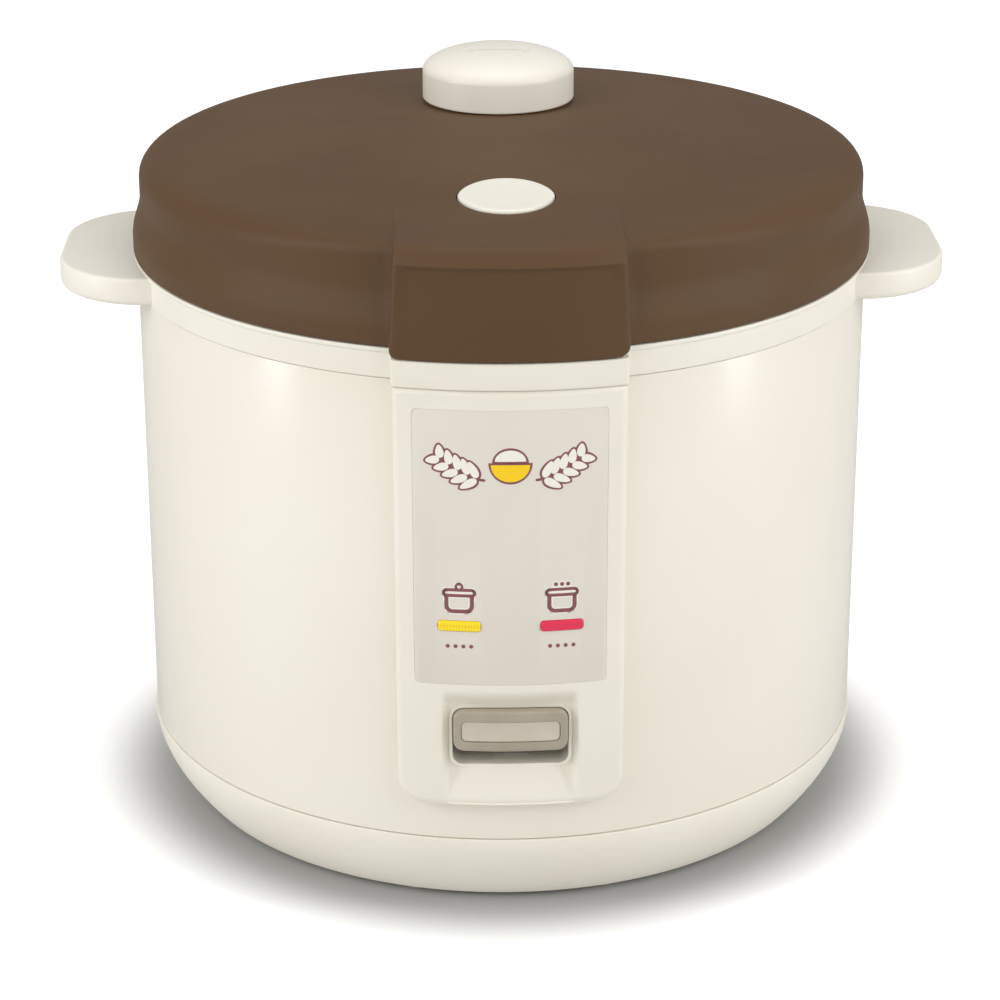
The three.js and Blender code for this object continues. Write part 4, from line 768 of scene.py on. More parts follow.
def feet():
    foot_radius = (high("foot_front_left", 0) - low("foot_front_left", 0)) / 2
    top = BASE_FOOT - GAP
    section = filleted([
        (0, 0), (foot_radius * 0.55, 0.0, 0.1 * MM), (foot_radius * 0.62, 0.5 * MM, 0.1 * MM),
        (foot_radius * 0.8, 0.5 * MM, 0.1 * MM), (foot_radius * 0.86, 0, 0.1 * MM),
        (foot_radius, 0, 0.5 * MM),
        (foot_radius, top, 0.2 * MM), (2.5 * MM, top), (2.5 * MM, high("foot_front_left"), 0.3 * MM),
        (0, high("foot_front_left")),
    ], 3)
    source = make("foot_source", *lathe(section, 48))
    nodes = ["foot_front_left", "foot_front_right", "foot_rear_left", "foot_rear_right"]
    places = []
    for node in nodes:
        lo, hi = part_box(node)
        places.append(((lo[0] + hi[0]) / 2, (lo[1] + hi[1]) / 2, 0))
    dress(place_by_nodes("feet", source, places, RUBBER), RUBBER, "cooker_body", nodes)


def base_screws():
    foot = low("base_screw_1")
    top = high("base_screw_1")
    head = SCREW_HEAD
    section = filleted([
        (0, 0), (head, 0, 0.7 * MM), (head, 2 * MM, 0.2 * MM), (1.7 * MM, 2 * MM),
        (1.7 * MM, top - foot, 0.3 * MM),
        (0, top - foot),
    ], 3)
    source = make("screw_source", *lathe(section, 32))
    arm = 0.5 * MM
    slot_depth = 1.1 * MM
    carve(
        source, box_prism((-2 * MM, -arm, -MM), (2 * MM, arm, slot_depth)),
        box_prism((-arm, -2 * MM, -MM), (arm, 2 * MM, slot_depth)),
    )
    places = [(x, y, foot) for x, y in ring_places(4, PILLAR_REACH, PILLAR_TURN)]
    nodes = [f"base_screw_{i + 1}" for i in range(4)]
    dress(place_by_nodes("base_screws", source, places, ZINC), ZINC, "cooker_body", nodes)


def bottom_plate():
    radius = high("bottom_plate", 0)
    foot, top = low("bottom_plate"), high("bottom_plate")
    section = filleted([
        (0, foot), (30 * MM, foot), (31 * MM, foot + 0.5 * MM), (80 * MM, foot + 0.5 * MM), (81 * MM, foot),
        (radius, foot, 0.3 * MM), (radius, top, 0.3 * MM), (0, top),
    ], 2)
    plate = make("bottom_sheet", *lathe(section, 128))
    slots = []
    for i in range(12):
        outline = rounded_rectangle(1.5 * MM, 20 * MM, 1.49 * MM, (0, 54 * MM), 4)
        slot = prism(outline, foot - 2 * MM, top + 2 * MM, "Z")
        slots.append(moved(slot, turn=Matrix.Rotation(math.radians(15 + 30 * i), 4, "Z")))
    carve(plate, join(*slots))
    dress(plate, ZINC, "cooker_body", ["bottom_plate"])


# Body: shell, liner, warm band and pot

def outer_shell():
    wall = 1 * MM
    section = filleted([
        (SHELL_RADIUS - wall, low("outer_shell"), 0.2 * MM), (SHELL_RADIUS, low("outer_shell"), 0.3 * MM),
        (SHELL_RADIUS, high("outer_shell"), 0.3 * MM), (SHELL_RADIUS - wall, high("outer_shell"), 0.2 * MM),
    ], 3)
    shell = make("body_sheet", *lathe(section, 256))
    board_top = high("lamp_board") + 0.5 * MM
    window = box_prism((-28 * MM, -0.2, PANEL_FOOT + 12 * MM), (28 * MM, -0.05, board_top))
    inlet_lo, inlet_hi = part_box("inlet_socket")
    edge = 4 * MM - GAP
    hole = box_prism(
        (inlet_lo[0] + edge, 0.05, inlet_lo[2] + edge), (inlet_hi[0] - edge, 0.2, inlet_hi[2] - edge),
    )
    carve(shell, window, hole)
    dress(shell, SHELL_PAINT, "cooker_body", ["outer_shell"])


def chamber_liner():
    wall = 0.8 * MM
    inside = POT_RADIUS + 3 * MM
    floor = low("chamber_liner")
    section = filleted([
        (88 * MM, floor, 0.2 * MM), (inside + wall, floor, 7 * MM),
        (inside + wall, LINER_TOP - wall, 0.3 * MM),
        (FLANGE_RADIUS, LINER_TOP - wall, 0.2 * MM), (FLANGE_RADIUS, LINER_TOP, 0.2 * MM),
        (inside, LINER_TOP, 0.8 * MM), (inside, floor + wall, 6.2 * MM), (88 * MM, floor + wall, 0.2 * MM),
    ], 6)
    dress(make("chamber_bowl", *lathe(section)), ZINC, "cooker_body", ["chamber_liner"])


def warm_band():
    outer = high("keep_warm_band", 0)
    lo, hi = low("keep_warm_band"), high("keep_warm_band")
    bead = 0.5 * MM
    corners = []
    for i in range(5):
        middle = lo + (hi - lo) * (i + 0.5) / 5
        corners += [
            (outer - bead, middle - 1.6 * MM, 0.4 * MM), (outer, middle - 0.8 * MM, 0.4 * MM),
            (outer, middle + 0.8 * MM, 0.4 * MM), (outer - bead, middle + 1.6 * MM, 0.4 * MM),
        ]
    inner = outer - 1.1 * MM
    section = filleted([(inner, lo), (outer - bead, lo), *corners, (outer - bead, hi), (inner, hi)], 2)
    dress(make("warm_band_heater", *lathe(section, 128)), ALUMINIUM, "cooker_body",
        ["keep_warm_band"])


def heating_plate():
    lo, top = low("heating_plate"), high("heating_plate")
    radius = high("heating_plate", 0)
    foot = top - 11 * MM
    element = 60 * MM
    half = 3.9 * MM
    groove = foot + 4 * MM
    section = filleted([
        (21 * MM, foot, 0.3 * MM), (element - half, foot, 0.3 * MM), (element - half, groove, 0.5 * MM),
        (element + half, groove, 0.5 * MM), (element + half, foot, 0.3 * MM), (radius, foot, 1 * MM),
        (radius, top - 3 * MM, 3 * MM), (radius - 7 * MM, top, 4 * MM), (21 * MM, top, 0.8 * MM),
    ], 4)
    posts = [
        lathe([(0, lo), (4 * MM, lo), (4 * MM, foot + GAP), (0, foot + GAP)], 32, place)
        for place in ring_places(3, 76 * MM, 0)
    ]
    plate = make("cast_heating_plate", *join(lathe(section, 128), *posts))
    dress(plate, ALUMINIUM, "cooker_body", ["heating_plate"])


def inner_pot():
    wall = 1.6 * MM
    corner = 24 * MM
    inside = POT_RADIUS - wall
    section = filleted([
        (0, POT_FOOT), (POT_RADIUS, POT_FOOT, corner), (POT_RADIUS, POT_TOP - wall, 0.6 * MM),
        (POT_RIM, POT_TOP - wall, 0.79 * MM), (POT_RIM, POT_TOP, 0.79 * MM), (inside, POT_TOP, 1.4 * MM),
        (inside, POT_FOOT + wall, corner - wall), (0, POT_FOOT + wall),
    ], 8)
    pot = make("pot", *lathe(section, 256))
    edge = inside + 0.4 * MM
    dress(
        pot, POT_OUTSIDE, "pot", ["inner_pot"], POT_INSIDE,
        lambda c, n: math.hypot(c.x, c.y) < edge and c.z > POT_FOOT + wall / 2,
    )


def level_marks():
    """The water level marks, pressed up the inside of the pot, long and short in turn."""
    inside = POT_RADIUS - 1.6 * MM
    start, step, count = POT_FOOT + 40 * MM, 9 * MM, 11
    verts, faces = [], []
    for i in range(count):
        half = (7 if i % 2 == 0 else 4) * MM
        for side in (0, math.pi):
            slab = prism(rounded_rectangle(half, 0.5 * MM, 0.4 * MM, (0, start + i * step), 3), -0.2 * MM,
                0.25 * MM, "Y")
            ring = []
            for x, y, z in slab[0]:
                angle = x / inside + side
                reach = inside - y
                ring.append((reach * math.cos(angle), reach * math.sin(angle), z))
            verts, faces = join((verts, faces), (ring, slab[1]))
    marks = make("pot_level_marks", verts, faces)
    dress(marks, ALUMINIUM, "pot")


# Upper ring with its ears, the bulge over the panel and the hinge knuckles

EAR_REACH = high("upper_ring", 0)
EAR_HALF = 44.8 * MM
EAR_AHEAD = 2.7 * MM
EAR_THICK = 10 * MM
EAR_CORNER = 32 * MM
BULGE_RADIUS = -low("upper_ring", 1)
KNUCKLE = 4.5 * MM
LID_KNUCKLE_HALF = 21.5 * MM
BODY_KNUCKLE = 22 * MM
BODY_KNUCKLE_WIDTH = 9 * MM
LATCH_HOLE = ((-8 * MM, -126.2 * MM), (8 * MM, -118.6 * MM))


def ear_plate():
    """One plate right across, with a soft upper edge; the ring's inside is cut out of it afterwards."""
    lower, upper = 2.8 * MM, 1.5 * MM
    rings = []
    for k in range(5):
        angle = math.pi / 2 * k / 4
        rings.append((lower * (1 - math.sin(angle)), RING_SEAM + lower * (1 - math.cos(angle))))
    for k in range(1, 8):
        angle = math.pi / 2 * k / 7
        rings.append((upper * (1 - math.cos(angle)), RING_SEAM + EAR_THICK - upper * (1 - math.sin(angle))))
    verts, faces, rows = [], [], []
    for inset, height in rings:
        ring = rounded_rectangle(EAR_REACH - inset, EAR_HALF - inset, EAR_CORNER - inset, (0, -EAR_AHEAD), 24)
        rows.append(list(range(len(verts), len(verts) + len(ring))))
        verts += [(x, y, height) for x, y in ring]
    for first, second in zip(rows, rows[1:]):
        faces += bridge(first, second, True)
    faces.append(tuple(reversed(rows[0])))
    faces.append(tuple(rows[-1]))
    return verts, faces


def upper_ring():
    ledge_inner = POT_RADIUS + 4.1 * MM
    ledge_top = RING_TOP - 2.4 * MM
    under = ledge_top - 2.4 * MM
    spigot_inner = SPIGOT_RADIUS - 2.2 * MM
    section = filleted([
        (SPIGOT_RADIUS, RING_SEAM), (BODY_RADIUS, RING_SEAM, 0.35 * MM),
        (BODY_RADIUS, RING_TOP - 1.9 * MM, 0.5 * MM),
        (BODY_RADIUS + 0.7 * MM, RING_TOP - 1.3 * MM, 0.4 * MM), (BODY_RADIUS + 0.7 * MM, RING_TOP, 0.5 * MM),
        (FLANGE_RADIUS + GAP, RING_TOP, 0.5 * MM), (FLANGE_RADIUS + GAP, ledge_top),
        (ledge_inner, ledge_top, 0.4 * MM),
        (ledge_inner, under, 0.4 * MM), (spigot_inner, under), (spigot_inner, RING_SEAM - 9 * MM, 0.3 * MM),
        (SPIGOT_RADIUS, RING_SEAM - 9 * MM, 0.3 * MM),
    ], 4)
    ring = make("ring_moulding", *lathe(section, 256))
    ears = make("ears_tool", *ear_plate())
    inside = lathe([(0, 0.15), (BODY_RADIUS - 2 * MM, 0.15), (BODY_RADIUS - 2 * MM, 0.25), (0, 0.25)], 256)
    carve(ears, inside)
    ear_mesh = ([tuple(v.co) for v in ears.data.vertices], [tuple(p.vertices) for p in ears.data.polygons])
    bpy.data.objects.remove(ears)
    bulge_half = 38.6 * MM
    bulge_foot = PANEL_TOP + GAP
    bulge_top = RING_TOP - 2.2 * MM
    bulge = wrap_front(pillow(
        bulge_half, (bulge_top - bulge_foot) / 2, 0.5 * MM, (-5 * MM, BULGE_RADIUS - BODY_RADIUS),
        (0, (bulge_top + bulge_foot) / 2), 0.9 * MM,
    ), BODY_RADIUS)
    under_bulge = box_prism((-bulge_half - MM, -0.1305, bulge_foot - MM), (bulge_half + MM, -0.1, RING_SEAM))
    bulge_obj = make("bulge_tool", *bulge)
    carve(bulge_obj, under_bulge)
    bulge = mesh_of(bulge_obj)
    bpy.data.objects.remove(bulge_obj)
    carve(ring, ear_mesh, bulge, operation="UNION")
    knuckles = []
    outline = arc(HINGE_Y, HINGE_Z, KNUCKLE, KNUCKLE, 0, math.pi, 16) + [
        (HINGE_Y - KNUCKLE, RING_TOP - 1 * MM), (BODY_RADIUS - 3 * MM, RING_TOP - 1.5 * MM),
        (BODY_RADIUS - 3 * MM, RING_SEAM + 0.6 * MM), (HINGE_Y + 1.2 * MM, RING_SEAM + 0.6 * MM),
        (HINGE_Y + KNUCKLE, HINGE_Z - KNUCKLE),
    ]
    for side in (-1, 1):
        ends = sorted((side * BODY_KNUCKLE, side * (BODY_KNUCKLE + BODY_KNUCKLE_WIDTH)))
        knuckles.append(prism(outline, ends[0], ends[1], "X", 0.5 * MM))
    carve(ring, *knuckles, operation="UNION")
    hole = box_prism((*LATCH_HOLE[0], RING_TOP - 10 * MM), (*LATCH_HOLE[1], RING_TOP + 3 * MM))
    bore = prism(arc(HINGE_Y, HINGE_Z, 2.3 * MM, 2.3 * MM, 0, 2 * math.pi, 24)[:-1], -0.04, 0.04, "X")
    carve(ring, hole, bore)
    dress(ring, CREAM, "cooker_body", ["upper_ring"])


# Front panel with its label field, lamp windows and the scoop round the key

KEY_LOW, KEY_HIGH = low("cook_key"), high("cook_key")
KEY_HALF = high("cook_key", 0)
KEY_MIDDLE = (KEY_LOW + KEY_HIGH) / 2
SLOT_LOW = KEY_LOW - 6 * MM
SLOT_HIGH = KEY_HIGH + 0.3 * MM
SLOT_HALF = KEY_HALF + 0.3 * MM
SLOT_CORNER = 3.6 * MM
SCOOP_DEPTH = 3.5 * MM
SCOOP_HALF = 22.5 * MM
SCOOP_LOW = SLOT_LOW - 14 * MM
SCOOP_HIGH = SLOT_HIGH + 7.6 * MM
LABEL_HALF = high("panel_label", 0)
LABEL_LOW, LABEL_HIGH = low("panel_label"), high("panel_label")
PANEL_CORNER = 9 * MM
PANEL_WALL = 2.2 * MM
EDGE_WIDTH = 1.5 * MM
EDGE_DROP = 0.75 * MM
LABEL_GAP = 0.06 * MM


def smooth(value):
    value = max(0.0, min(1.0, value))
    return value * value * (3 - 2 * value)


def outline_distance(x, z, half_width, foot, top, corner, top_corner):
    """How far a point lies inside a plate's outline, whose lower and upper corners have their own radii."""
    middle = (foot + top) / 2
    radius = corner if z < middle else top_corner
    across = abs(x) - (half_width - radius)
    up = abs(z - middle) - ((top - foot) / 2 - radius)
    outside = math.hypot(max(across, 0), max(up, 0))
    return radius - outside - min(max(across, up), 0)


def scoop_depth(x, z):
    side = 1 - smooth((abs(x) - (SCOOP_HALF - 2.2 * MM)) / (3.4 * MM))
    if z < SLOT_LOW:
        rise = (z - SCOOP_LOW) / (SLOT_LOW - SCOOP_LOW)
        fall = 0.12 + 0.88 * min(1.0, rise) if rise > 0 else 0.0
    elif z > SLOT_HIGH:
        fall = 1 - smooth((z - SLOT_HIGH) / (SCOOP_HIGH - SLOT_HIGH))
    else:
        fall = 1
    return SCOOP_DEPTH * side * fall


def label_depth(x, z):
    inside = outline_distance(
        x, z, LABEL_HALF + LABEL_GAP, LABEL_LOW - LABEL_GAP, LABEL_HIGH + LABEL_GAP, 2.3 * MM, 2.3 * MM,
    )
    return 0.75 * MM * smooth(inside / (0.16 * MM))


def panel_front(x, z):
    """The radius of the panel's face at a place seen from the front."""
    inside = max(0.0, outline_distance(x, z, PANEL_HALF, PANEL_FOOT, PANEL_TOP, PANEL_CORNER, 0.6 * MM))
    edge = EDGE_DROP * max(0.0, 1 - inside / EDGE_WIDTH) ** 1.15
    return PANEL_RADIUS - edge - scoop_depth(x, z) - label_depth(x, z)


def spaced(stops, pitch):
    """Grid lines between stops, no further apart than pitch."""
    lines = []
    for first, second in zip(stops, stops[1:]):
        count = max(1, math.ceil((second - first) / pitch - 1e-6))
        lines += [first + (second - first) * k / count for k in range(count)]
    return lines + [stops[-1]]


def control_panel():
    edge = [0, 0.1, 0.5, 1.0, 1.5, 1.9]
    fine = [-1.0, -0.4, -0.1, 0.06, 0.3, 0.8]
    half_lines = (
        [0] + [SCOOP_HALF - 2.2 * MM + k * 0.425 * MM for k in range(9)]
        + [LABEL_HALF + d * MM for d in fine] + [PANEL_HALF - d * MM for d in reversed(edge)]
    )
    half_lines = spaced(half_lines, 1.6 * MM)
    columns = [-x for x in reversed(half_lines[1:])] + half_lines
    corner_rows = [PANEL_FOOT + PANEL_CORNER * (1 - math.cos(math.pi / 2 * k / 10)) for k in range(1, 11)]
    rows = (
        [PANEL_FOOT + d * MM for d in edge[:3]] + [z for z in corner_rows if z > PANEL_FOOT + 0.3 * MM]
        + [SCOOP_LOW - 0.3 * MM, SCOOP_LOW, SCOOP_LOW + 0.3 * MM, SLOT_LOW, SLOT_HIGH]
        + [SLOT_HIGH + (SCOOP_HIGH - SLOT_HIGH) * k / 8 for k in range(1, 9)]
        + [LABEL_LOW - d * MM for d in reversed(fine)] + [LABEL_HIGH + d * MM for d in fine]
        + [PANEL_TOP - d * MM for d in reversed(edge)]
    )
    rows = spaced(sorted(set(round(z, 7) for z in rows)), 1.6 * MM)
    verts, faces = [], []
    front, back = [], []
    for z in rows:
        drop = max(0.0, PANEL_CORNER - (z - PANEL_FOOT))
        width = PANEL_HALF - PANEL_CORNER + math.sqrt(max(0.0, PANEL_CORNER ** 2 - drop ** 2))
        line_front, line_back = [], []
        for u in columns:
            x = u * width / PANEL_HALF
            reach = panel_front(x, z)
            line_front.append(len(verts))
            verts.append((x, -math.sqrt(reach ** 2 - x ** 2), z))
            inside = outline_distance(x, z, PANEL_HALF, PANEL_FOOT, PANEL_TOP, PANEL_CORNER, 0.6 * MM)
            behind = PANEL_INNER if inside < PANEL_WALL else max(PANEL_INNER, reach - PANEL_WALL)
            behind = min(behind, reach - 1 * MM)
            line_back.append(len(verts))
            verts.append((x, -math.sqrt(behind ** 2 - x ** 2), z))
        front.append(line_front)
        back.append(line_back)
    for i in range(len(rows) - 1):
        faces += bridge(front[i], front[i + 1], False)
        faces += bridge(back[i + 1], back[i], False)
        for side in (0, -1):
            faces.append((front[i][side], front[i + 1][side], back[i + 1][side], back[i][side]))
    faces += bridge(front[0], back[0], False)
    faces += bridge(front[-1], back[-1], False)
    panel = make("panel_moulding", verts, faces)
    sill = 11 * MM
    wall = 1 * MM
    tray = rounded_rectangle(
        SLOT_HALF + wall, (SLOT_HIGH - SLOT_LOW) / 2 + wall, SLOT_CORNER + wall,
        (0, (SLOT_LOW + SLOT_HIGH) / 2), 8,
    )
    tray_back = -(PANEL_RADIUS - SCOOP_DEPTH - wall - sill)
    carve(panel, prism(tray, -(PANEL_RADIUS - SCOOP_DEPTH - 0.3 * MM), tray_back, "Y"), operation="UNION")
    slot = rounded_rectangle(
        SLOT_HALF, (SLOT_HIGH - SLOT_LOW) / 2, SLOT_CORNER, (0, (SLOT_LOW + SLOT_HIGH) / 2), 8,
    )
    tools = [prism(slot, -0.15, -0.1, "Y")]
    for node in ("warm_lens", "cook_lens"):
        tools.append(prism(lens_outline(node, LENS_GAP), -0.15, -0.1, "Y"))
    carve(panel, *tools)
    dress(panel, CREAM, "cooker_body", ["control_panel"])


LENS_GAP = 0.14 * MM


def lens_outline(node, gap):
    lo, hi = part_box(node)
    flange = 1.2 * MM
    half_width = (hi[0] - lo[0]) / 2 - flange
    half_height = (hi[2] - lo[2]) / 2 - flange
    return rounded_rectangle(
        half_width + gap, half_height + gap, 1.2 * MM + gap, ((lo[0] + hi[0]) / 2, (lo[2] + hi[2]) / 2), 6,
    )


def lenses():
    for node, material, slot in (("warm_lens", YELLOW_LENS, "warm_lens"),
        ("cook_lens", RED_LENS, "cook_lens")):
        lo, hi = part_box(node)
        flange = 1.2 * MM
        centre = ((lo[0] + hi[0]) / 2, (lo[2] + hi[2]) / 2)
        half = ((hi[0] - lo[0]) / 2, (hi[2] - lo[2]) / 2)
        face = wrap_front(pillow(
            half[0] - flange, half[1] - flange, 1.2 * MM, (-3.7 * MM, 0.5 * MM), centre, 0.45 * MM,
        ), PANEL_RADIUS, 1.5 * MM)
        rim = wrap_front(pillow(
            half[0], half[1], 1.4 * MM, (-3.7 * MM, -2.5 * MM), centre, 0.2 * MM,
        ), PANEL_RADIUS, 1.5 * MM)
        dress(make(f"{node}_moulding", *join(face, rim)), material, "cooker_body", [node])


def label():
    middle = (LABEL_LOW + LABEL_HIGH) / 2
    field = make("label_sheet", *wrap_front(pillow(
        LABEL_HALF, (LABEL_HIGH - LABEL_LOW) / 2, 2.2 * MM, (-0.6 * MM, 0), (0, middle), 0.12 * MM, 2,
    ), PANEL_RADIUS, 1.6 * MM))
    carve(field, *[prism(lens_outline(node, LENS_GAP), -0.15, -0.1, "Y") for node in ("warm_lens",
        "cook_lens")])
    dress(field, LABEL, "cooker_body", ["panel_label"])


# Print on the label: a pair of rice sprigs, two pot signs and a row of dots under each lens

PRINT_LIFT = 0.05 * MM
PRINT_SINK = 0.04 * MM


def ribbon(points, width, closed=False):
    """Quads of a stroke of constant width along points in (across, up)."""
    count = len(points)
    left, right = [], []
    for i, point in enumerate(points):
        before = Vector(points[i - 1]) if i or closed else Vector(point)
        after = Vector(points[(i + 1) % count]) if i < count - 1 or closed else Vector(point)
        along = (after - before).normalized()
        normal = Vector((-along.y, along.x))
        left.append(Vector(point) + normal * width / 2)
        right.append(Vector(point) - normal * width / 2)
    quads = []
    for i in range(count if closed else count - 1):
        n = (i + 1) % count
        quads.append([left[i], right[i], right[n], left[n]])
    if not closed:
        for end in (points[0], points[-1]):
            quads.append([Vector(p) for p in arc(end[0], end[1], width / 2, width / 2, 0, 2 * math.pi,
                12)[:-1]])
    return quads


def printed(name, areas, material, lift=0.0):
    """Thin solids of ink on the label, one for each area in (across, up)."""
    groups = []
    for area in areas:
        count = len(area)
        verts = [(a, b, depth) for depth in (PRINT_LIFT + lift, -PRINT_SINK) for a, b in area]
        faces = [tuple(range(count)), tuple(reversed(range(count, 2 * count)))]
        faces += [(i, count + i, count + (i + 1) % count, (i + 1) % count) for i in range(count)]
        groups.append((verts, faces))
    obj = make(name, *wrap_front(join(*groups), PANEL_RADIUS, 1.5 * MM))
    dress(obj, material, "cooker_body")


def grain(x, z, length, width, angle, steps=18):
    """The outline of one rice grain, fuller towards its foot."""
    points = []
    for k in range(steps):
        turn = 2 * math.pi * k / steps
        along = length / 2 * math.cos(turn)
        across = width / 2 * math.sin(turn) * (1 - 0.28 * math.cos(turn))
        points.append((
            x + along * math.cos(angle) - across * math.sin(angle),
            z + along * math.sin(angle) + across * math.cos(angle),
        ))
    return points


def sprigs(middle):
    """Two rice sprigs either side of a small bowl of rice."""
    stem, outline, fill = [], [], []
    for side in (-1, 1):
        path = []
        for k in range(17):
            t = k / 16
            path.append((side * (8.6 + 16.2 * t) * MM, middle + (-5.4 + 8.6 * t ** 1.5) * MM))
        stem += ribbon(path, 0.9 * MM)
        for k in range(5):
            at = 2 + k * 3
            x, z = path[at]
            ahead = path[min(at + 1, 16)]
            along = math.atan2(ahead[1] - z, ahead[0] - x)
            for lean in (-1, 1):
                size = (6.2 - 0.4 * k) * MM
                angle = along + lean * side * math.radians(46)
                cx = x + math.cos(angle) * size * 0.58
                cz = z + math.sin(angle) * size * 0.58
                outline.append(grain(cx, cz, size + 1.4 * MM, 4.2 * MM, angle))
                fill.append(grain(cx, cz, size, 2.7 * MM, angle))
    bowl = arc(0, 0.6, 7.2, 7.4, math.pi, 2 * math.pi, 20)
    mound = arc(0, 0.4, 6.0, 5.4, 0, math.pi, 16)
    outline += [[(a * MM, middle + b * MM) for a, b in area] for area in (bowl, mound)]
    rice = arc(0, 1.1, 5.1, 3.9, 0, math.pi, 16)
    fill.append([(a * MM, middle + b * MM) for a, b in rice])
    glaze = arc(0, -0.1, 6.4, 5.9, math.pi, 2 * math.pi, 20)
    printed("sprig_stems", stem, MAROON_INK)
    printed("sprig_outlines", outline, MAROON_INK, 0.01 * MM)
    printed("sprig_grains", fill, CREAM_INK, 0.03 * MM)
    printed("bowl_glaze", [[(a * MM, middle + b * MM) for a, b in glaze]], YELLOW_INK, 0.03 * MM)


def pot_sign(name, x, z, steaming):
    """A plain sign of a pot with a lid: its bowl, rim and either a knob or three puffs of steam."""
    scale = 0.84 * MM
    stroke = 1.4 * MM

    def placed(points):
        return [(x + a * scale, z + b * scale) for a, b in points]

    bowl = [(-5.0, 1.6)] + arc(-2.6, -2.2, 2.4, 2.4, math.pi, 1.5 * math.pi, 6)
    bowl += arc(2.6, -2.2, 2.4, 2.4, 1.5 * math.pi, 2 * math.pi, 6) + [(5.0, 1.6)]
    rim = arc(-4.9, 3.3, 1.2, 1.2, math.pi / 2, 1.5 * math.pi, 6)
    rim += arc(4.9, 3.3, 1.2, 1.2, -math.pi / 2, math.pi / 2, 6)
    for part, extra, material, lift in (("halo", 0.8 * MM, CREAM_INK, -0.02 * MM),
        ("lines", 0, MAROON_INK, 0)):
        strokes = ribbon(placed(bowl), stroke + extra) + ribbon(placed(rim), stroke * 0.8 + extra, True)
        if steaming:
            size = 0.85 + extra / scale / 2
            strokes += [placed(arc(at, 6.7, size, size, 0, 2 * math.pi, 14)[:-1]) for at in (-2.4, 0, 2.4)]
        else:
            knob = placed(arc(0, 5.9, 1.25, 1.25, -0.25 * math.pi, 1.25 * math.pi, 12))
            strokes += ribbon(knob, stroke * 0.65 + extra)
        printed(f"{name}_{part}", strokes, material, lift)


def graphics():
    sprigs(LABEL_HIGH - 18.5 * MM)
    for node, steaming in (("warm_lens", False), ("cook_lens", True)):
        lo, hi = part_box(node)
        x, z = (lo[0] + hi[0]) / 2, (lo[2] + hi[2]) / 2
        pot_sign(f"{node}_sign", x, z + 9.2 * MM, steaming)
        marks = []
        for k in range(4):
            centre = x + (k - 1.5) * 2.6 * MM
            marks.append(arc(centre, z - 7.3 * MM, 0.7 * MM, 0.7 * MM, 0, 2 * math.pi, 14)[:-1])
        printed(f"{node}_marks", marks, MAROON_INK)


# Cook key with its insert

def cook_key():
    key_radius = -low("cook_key", 1)
    depth = 11 * MM
    key = make("key_moulding", *wrap_front(pillow(
        KEY_HALF, (KEY_HIGH - KEY_LOW) / 2, 3.4 * MM, (-depth, 0), (0, KEY_MIDDLE), 0.8 * MM, 5,
    ), key_radius, 1.5 * MM))
    insert_half = high("key_insert", 0)
    insert_low, insert_high = low("key_insert"), high("key_insert")
    pocket = prism(rounded_rectangle(
        insert_half + 0.15 * MM, (insert_high - insert_low) / 2 + 0.15 * MM, 2 * MM, (0, KEY_MIDDLE), 6,
    ), -0.15, 0, "Y")
    keep = lathe([(0, 0.05), (key_radius - 1.3 * MM, 0.05), (key_radius - 1.3 * MM, 0.1), (0, 0.1)], 256)
    pocket_tool = make("pocket_tool", *pocket)
    carve(pocket_tool, keep)
    pocket = mesh_of(pocket_tool)
    bpy.data.objects.remove(pocket_tool)
    notch = box_prism((-6.3 * MM, -0.1323, KEY_MIDDLE - 3.3 * MM), (6.3 * MM, -0.12, KEY_MIDDLE + 3.3 * MM))
    carve(key, pocket, notch)
    dress(key, KEY, "cook_lever", ["cook_key"])
    insert = make("key_inlay", *wrap_front(pillow(
        insert_half, (insert_high - insert_low) / 2, 1.8 * MM, (-1.1 * MM, -0.15 * MM), (0, KEY_MIDDLE),
        0.3 * MM, 3,
        dish=0.35 * MM,
    ), key_radius, 1.5 * MM))
    dress(insert, INSERT, "cook_lever", ["key_insert"])


# Lid cover: one grid whose columns follow the flap's side edges

LID_TOP_RADIUS = LID_RADIUS - 3 * MM
DOME_EDGE = LID_TOP_RADIUS - 5 * MM
CROWN = 5.2 * MM
LID_WALL = 2.5 * MM
FLAP_ROOT = 90 * MM
FLAP_HALF_TOP = 37.2 * MM
FLAP_HALF_FOOT = 39 * MM
FLAP_TOP = CREASE + 1.5 * MM
FLAP_SHOULDER = CREASE - 4.1 * MM
# The flap's brow: how far back from its face, and how far above the crease, in millimetres
FLAP_BROW = (
    (10, 1.5), (6.6, 1.48), (4.8, 1.25), (3.6, 0.75), (2.7, 0), (2.0, -0.95), (1.4, -1.9), (0.85, -2.75),
    (0.4, -3.45), (0, -4.1),
)
FLAP_EDGE_ROUND = 1.1 * MM
RECESS_TOP = FLAP_SHOULDER + 0.2 * MM
LID_COLUMNS = 60
BUTTON_FRONT = (low("release_button", 1) + high("release_button", 1)) / 2
BUTTON_HALF = high("release_button", 0) - 1.4 * MM
BUTTON_LENGTH = (high("release_button", 1) - low("release_button", 1)) / 2 - 1.4 * MM


def dome(radius):
    return CREASE + CROWN * (1 - (radius / DOME_EDGE) ** 2)


def softness(share):
    """How soft the lid's upper edge is: 0 beside the flap, a crease there, and 1 at the sides and back."""
    near = math.asin(FLAP_HALF_TOP / LID_TOP_RADIUS)
    return smooth((column_angle(near, share) - near) / math.radians(34))


def column_angle(start, share):
    return start + (math.pi - start) * (0.6 * share + 0.4 * share * share)


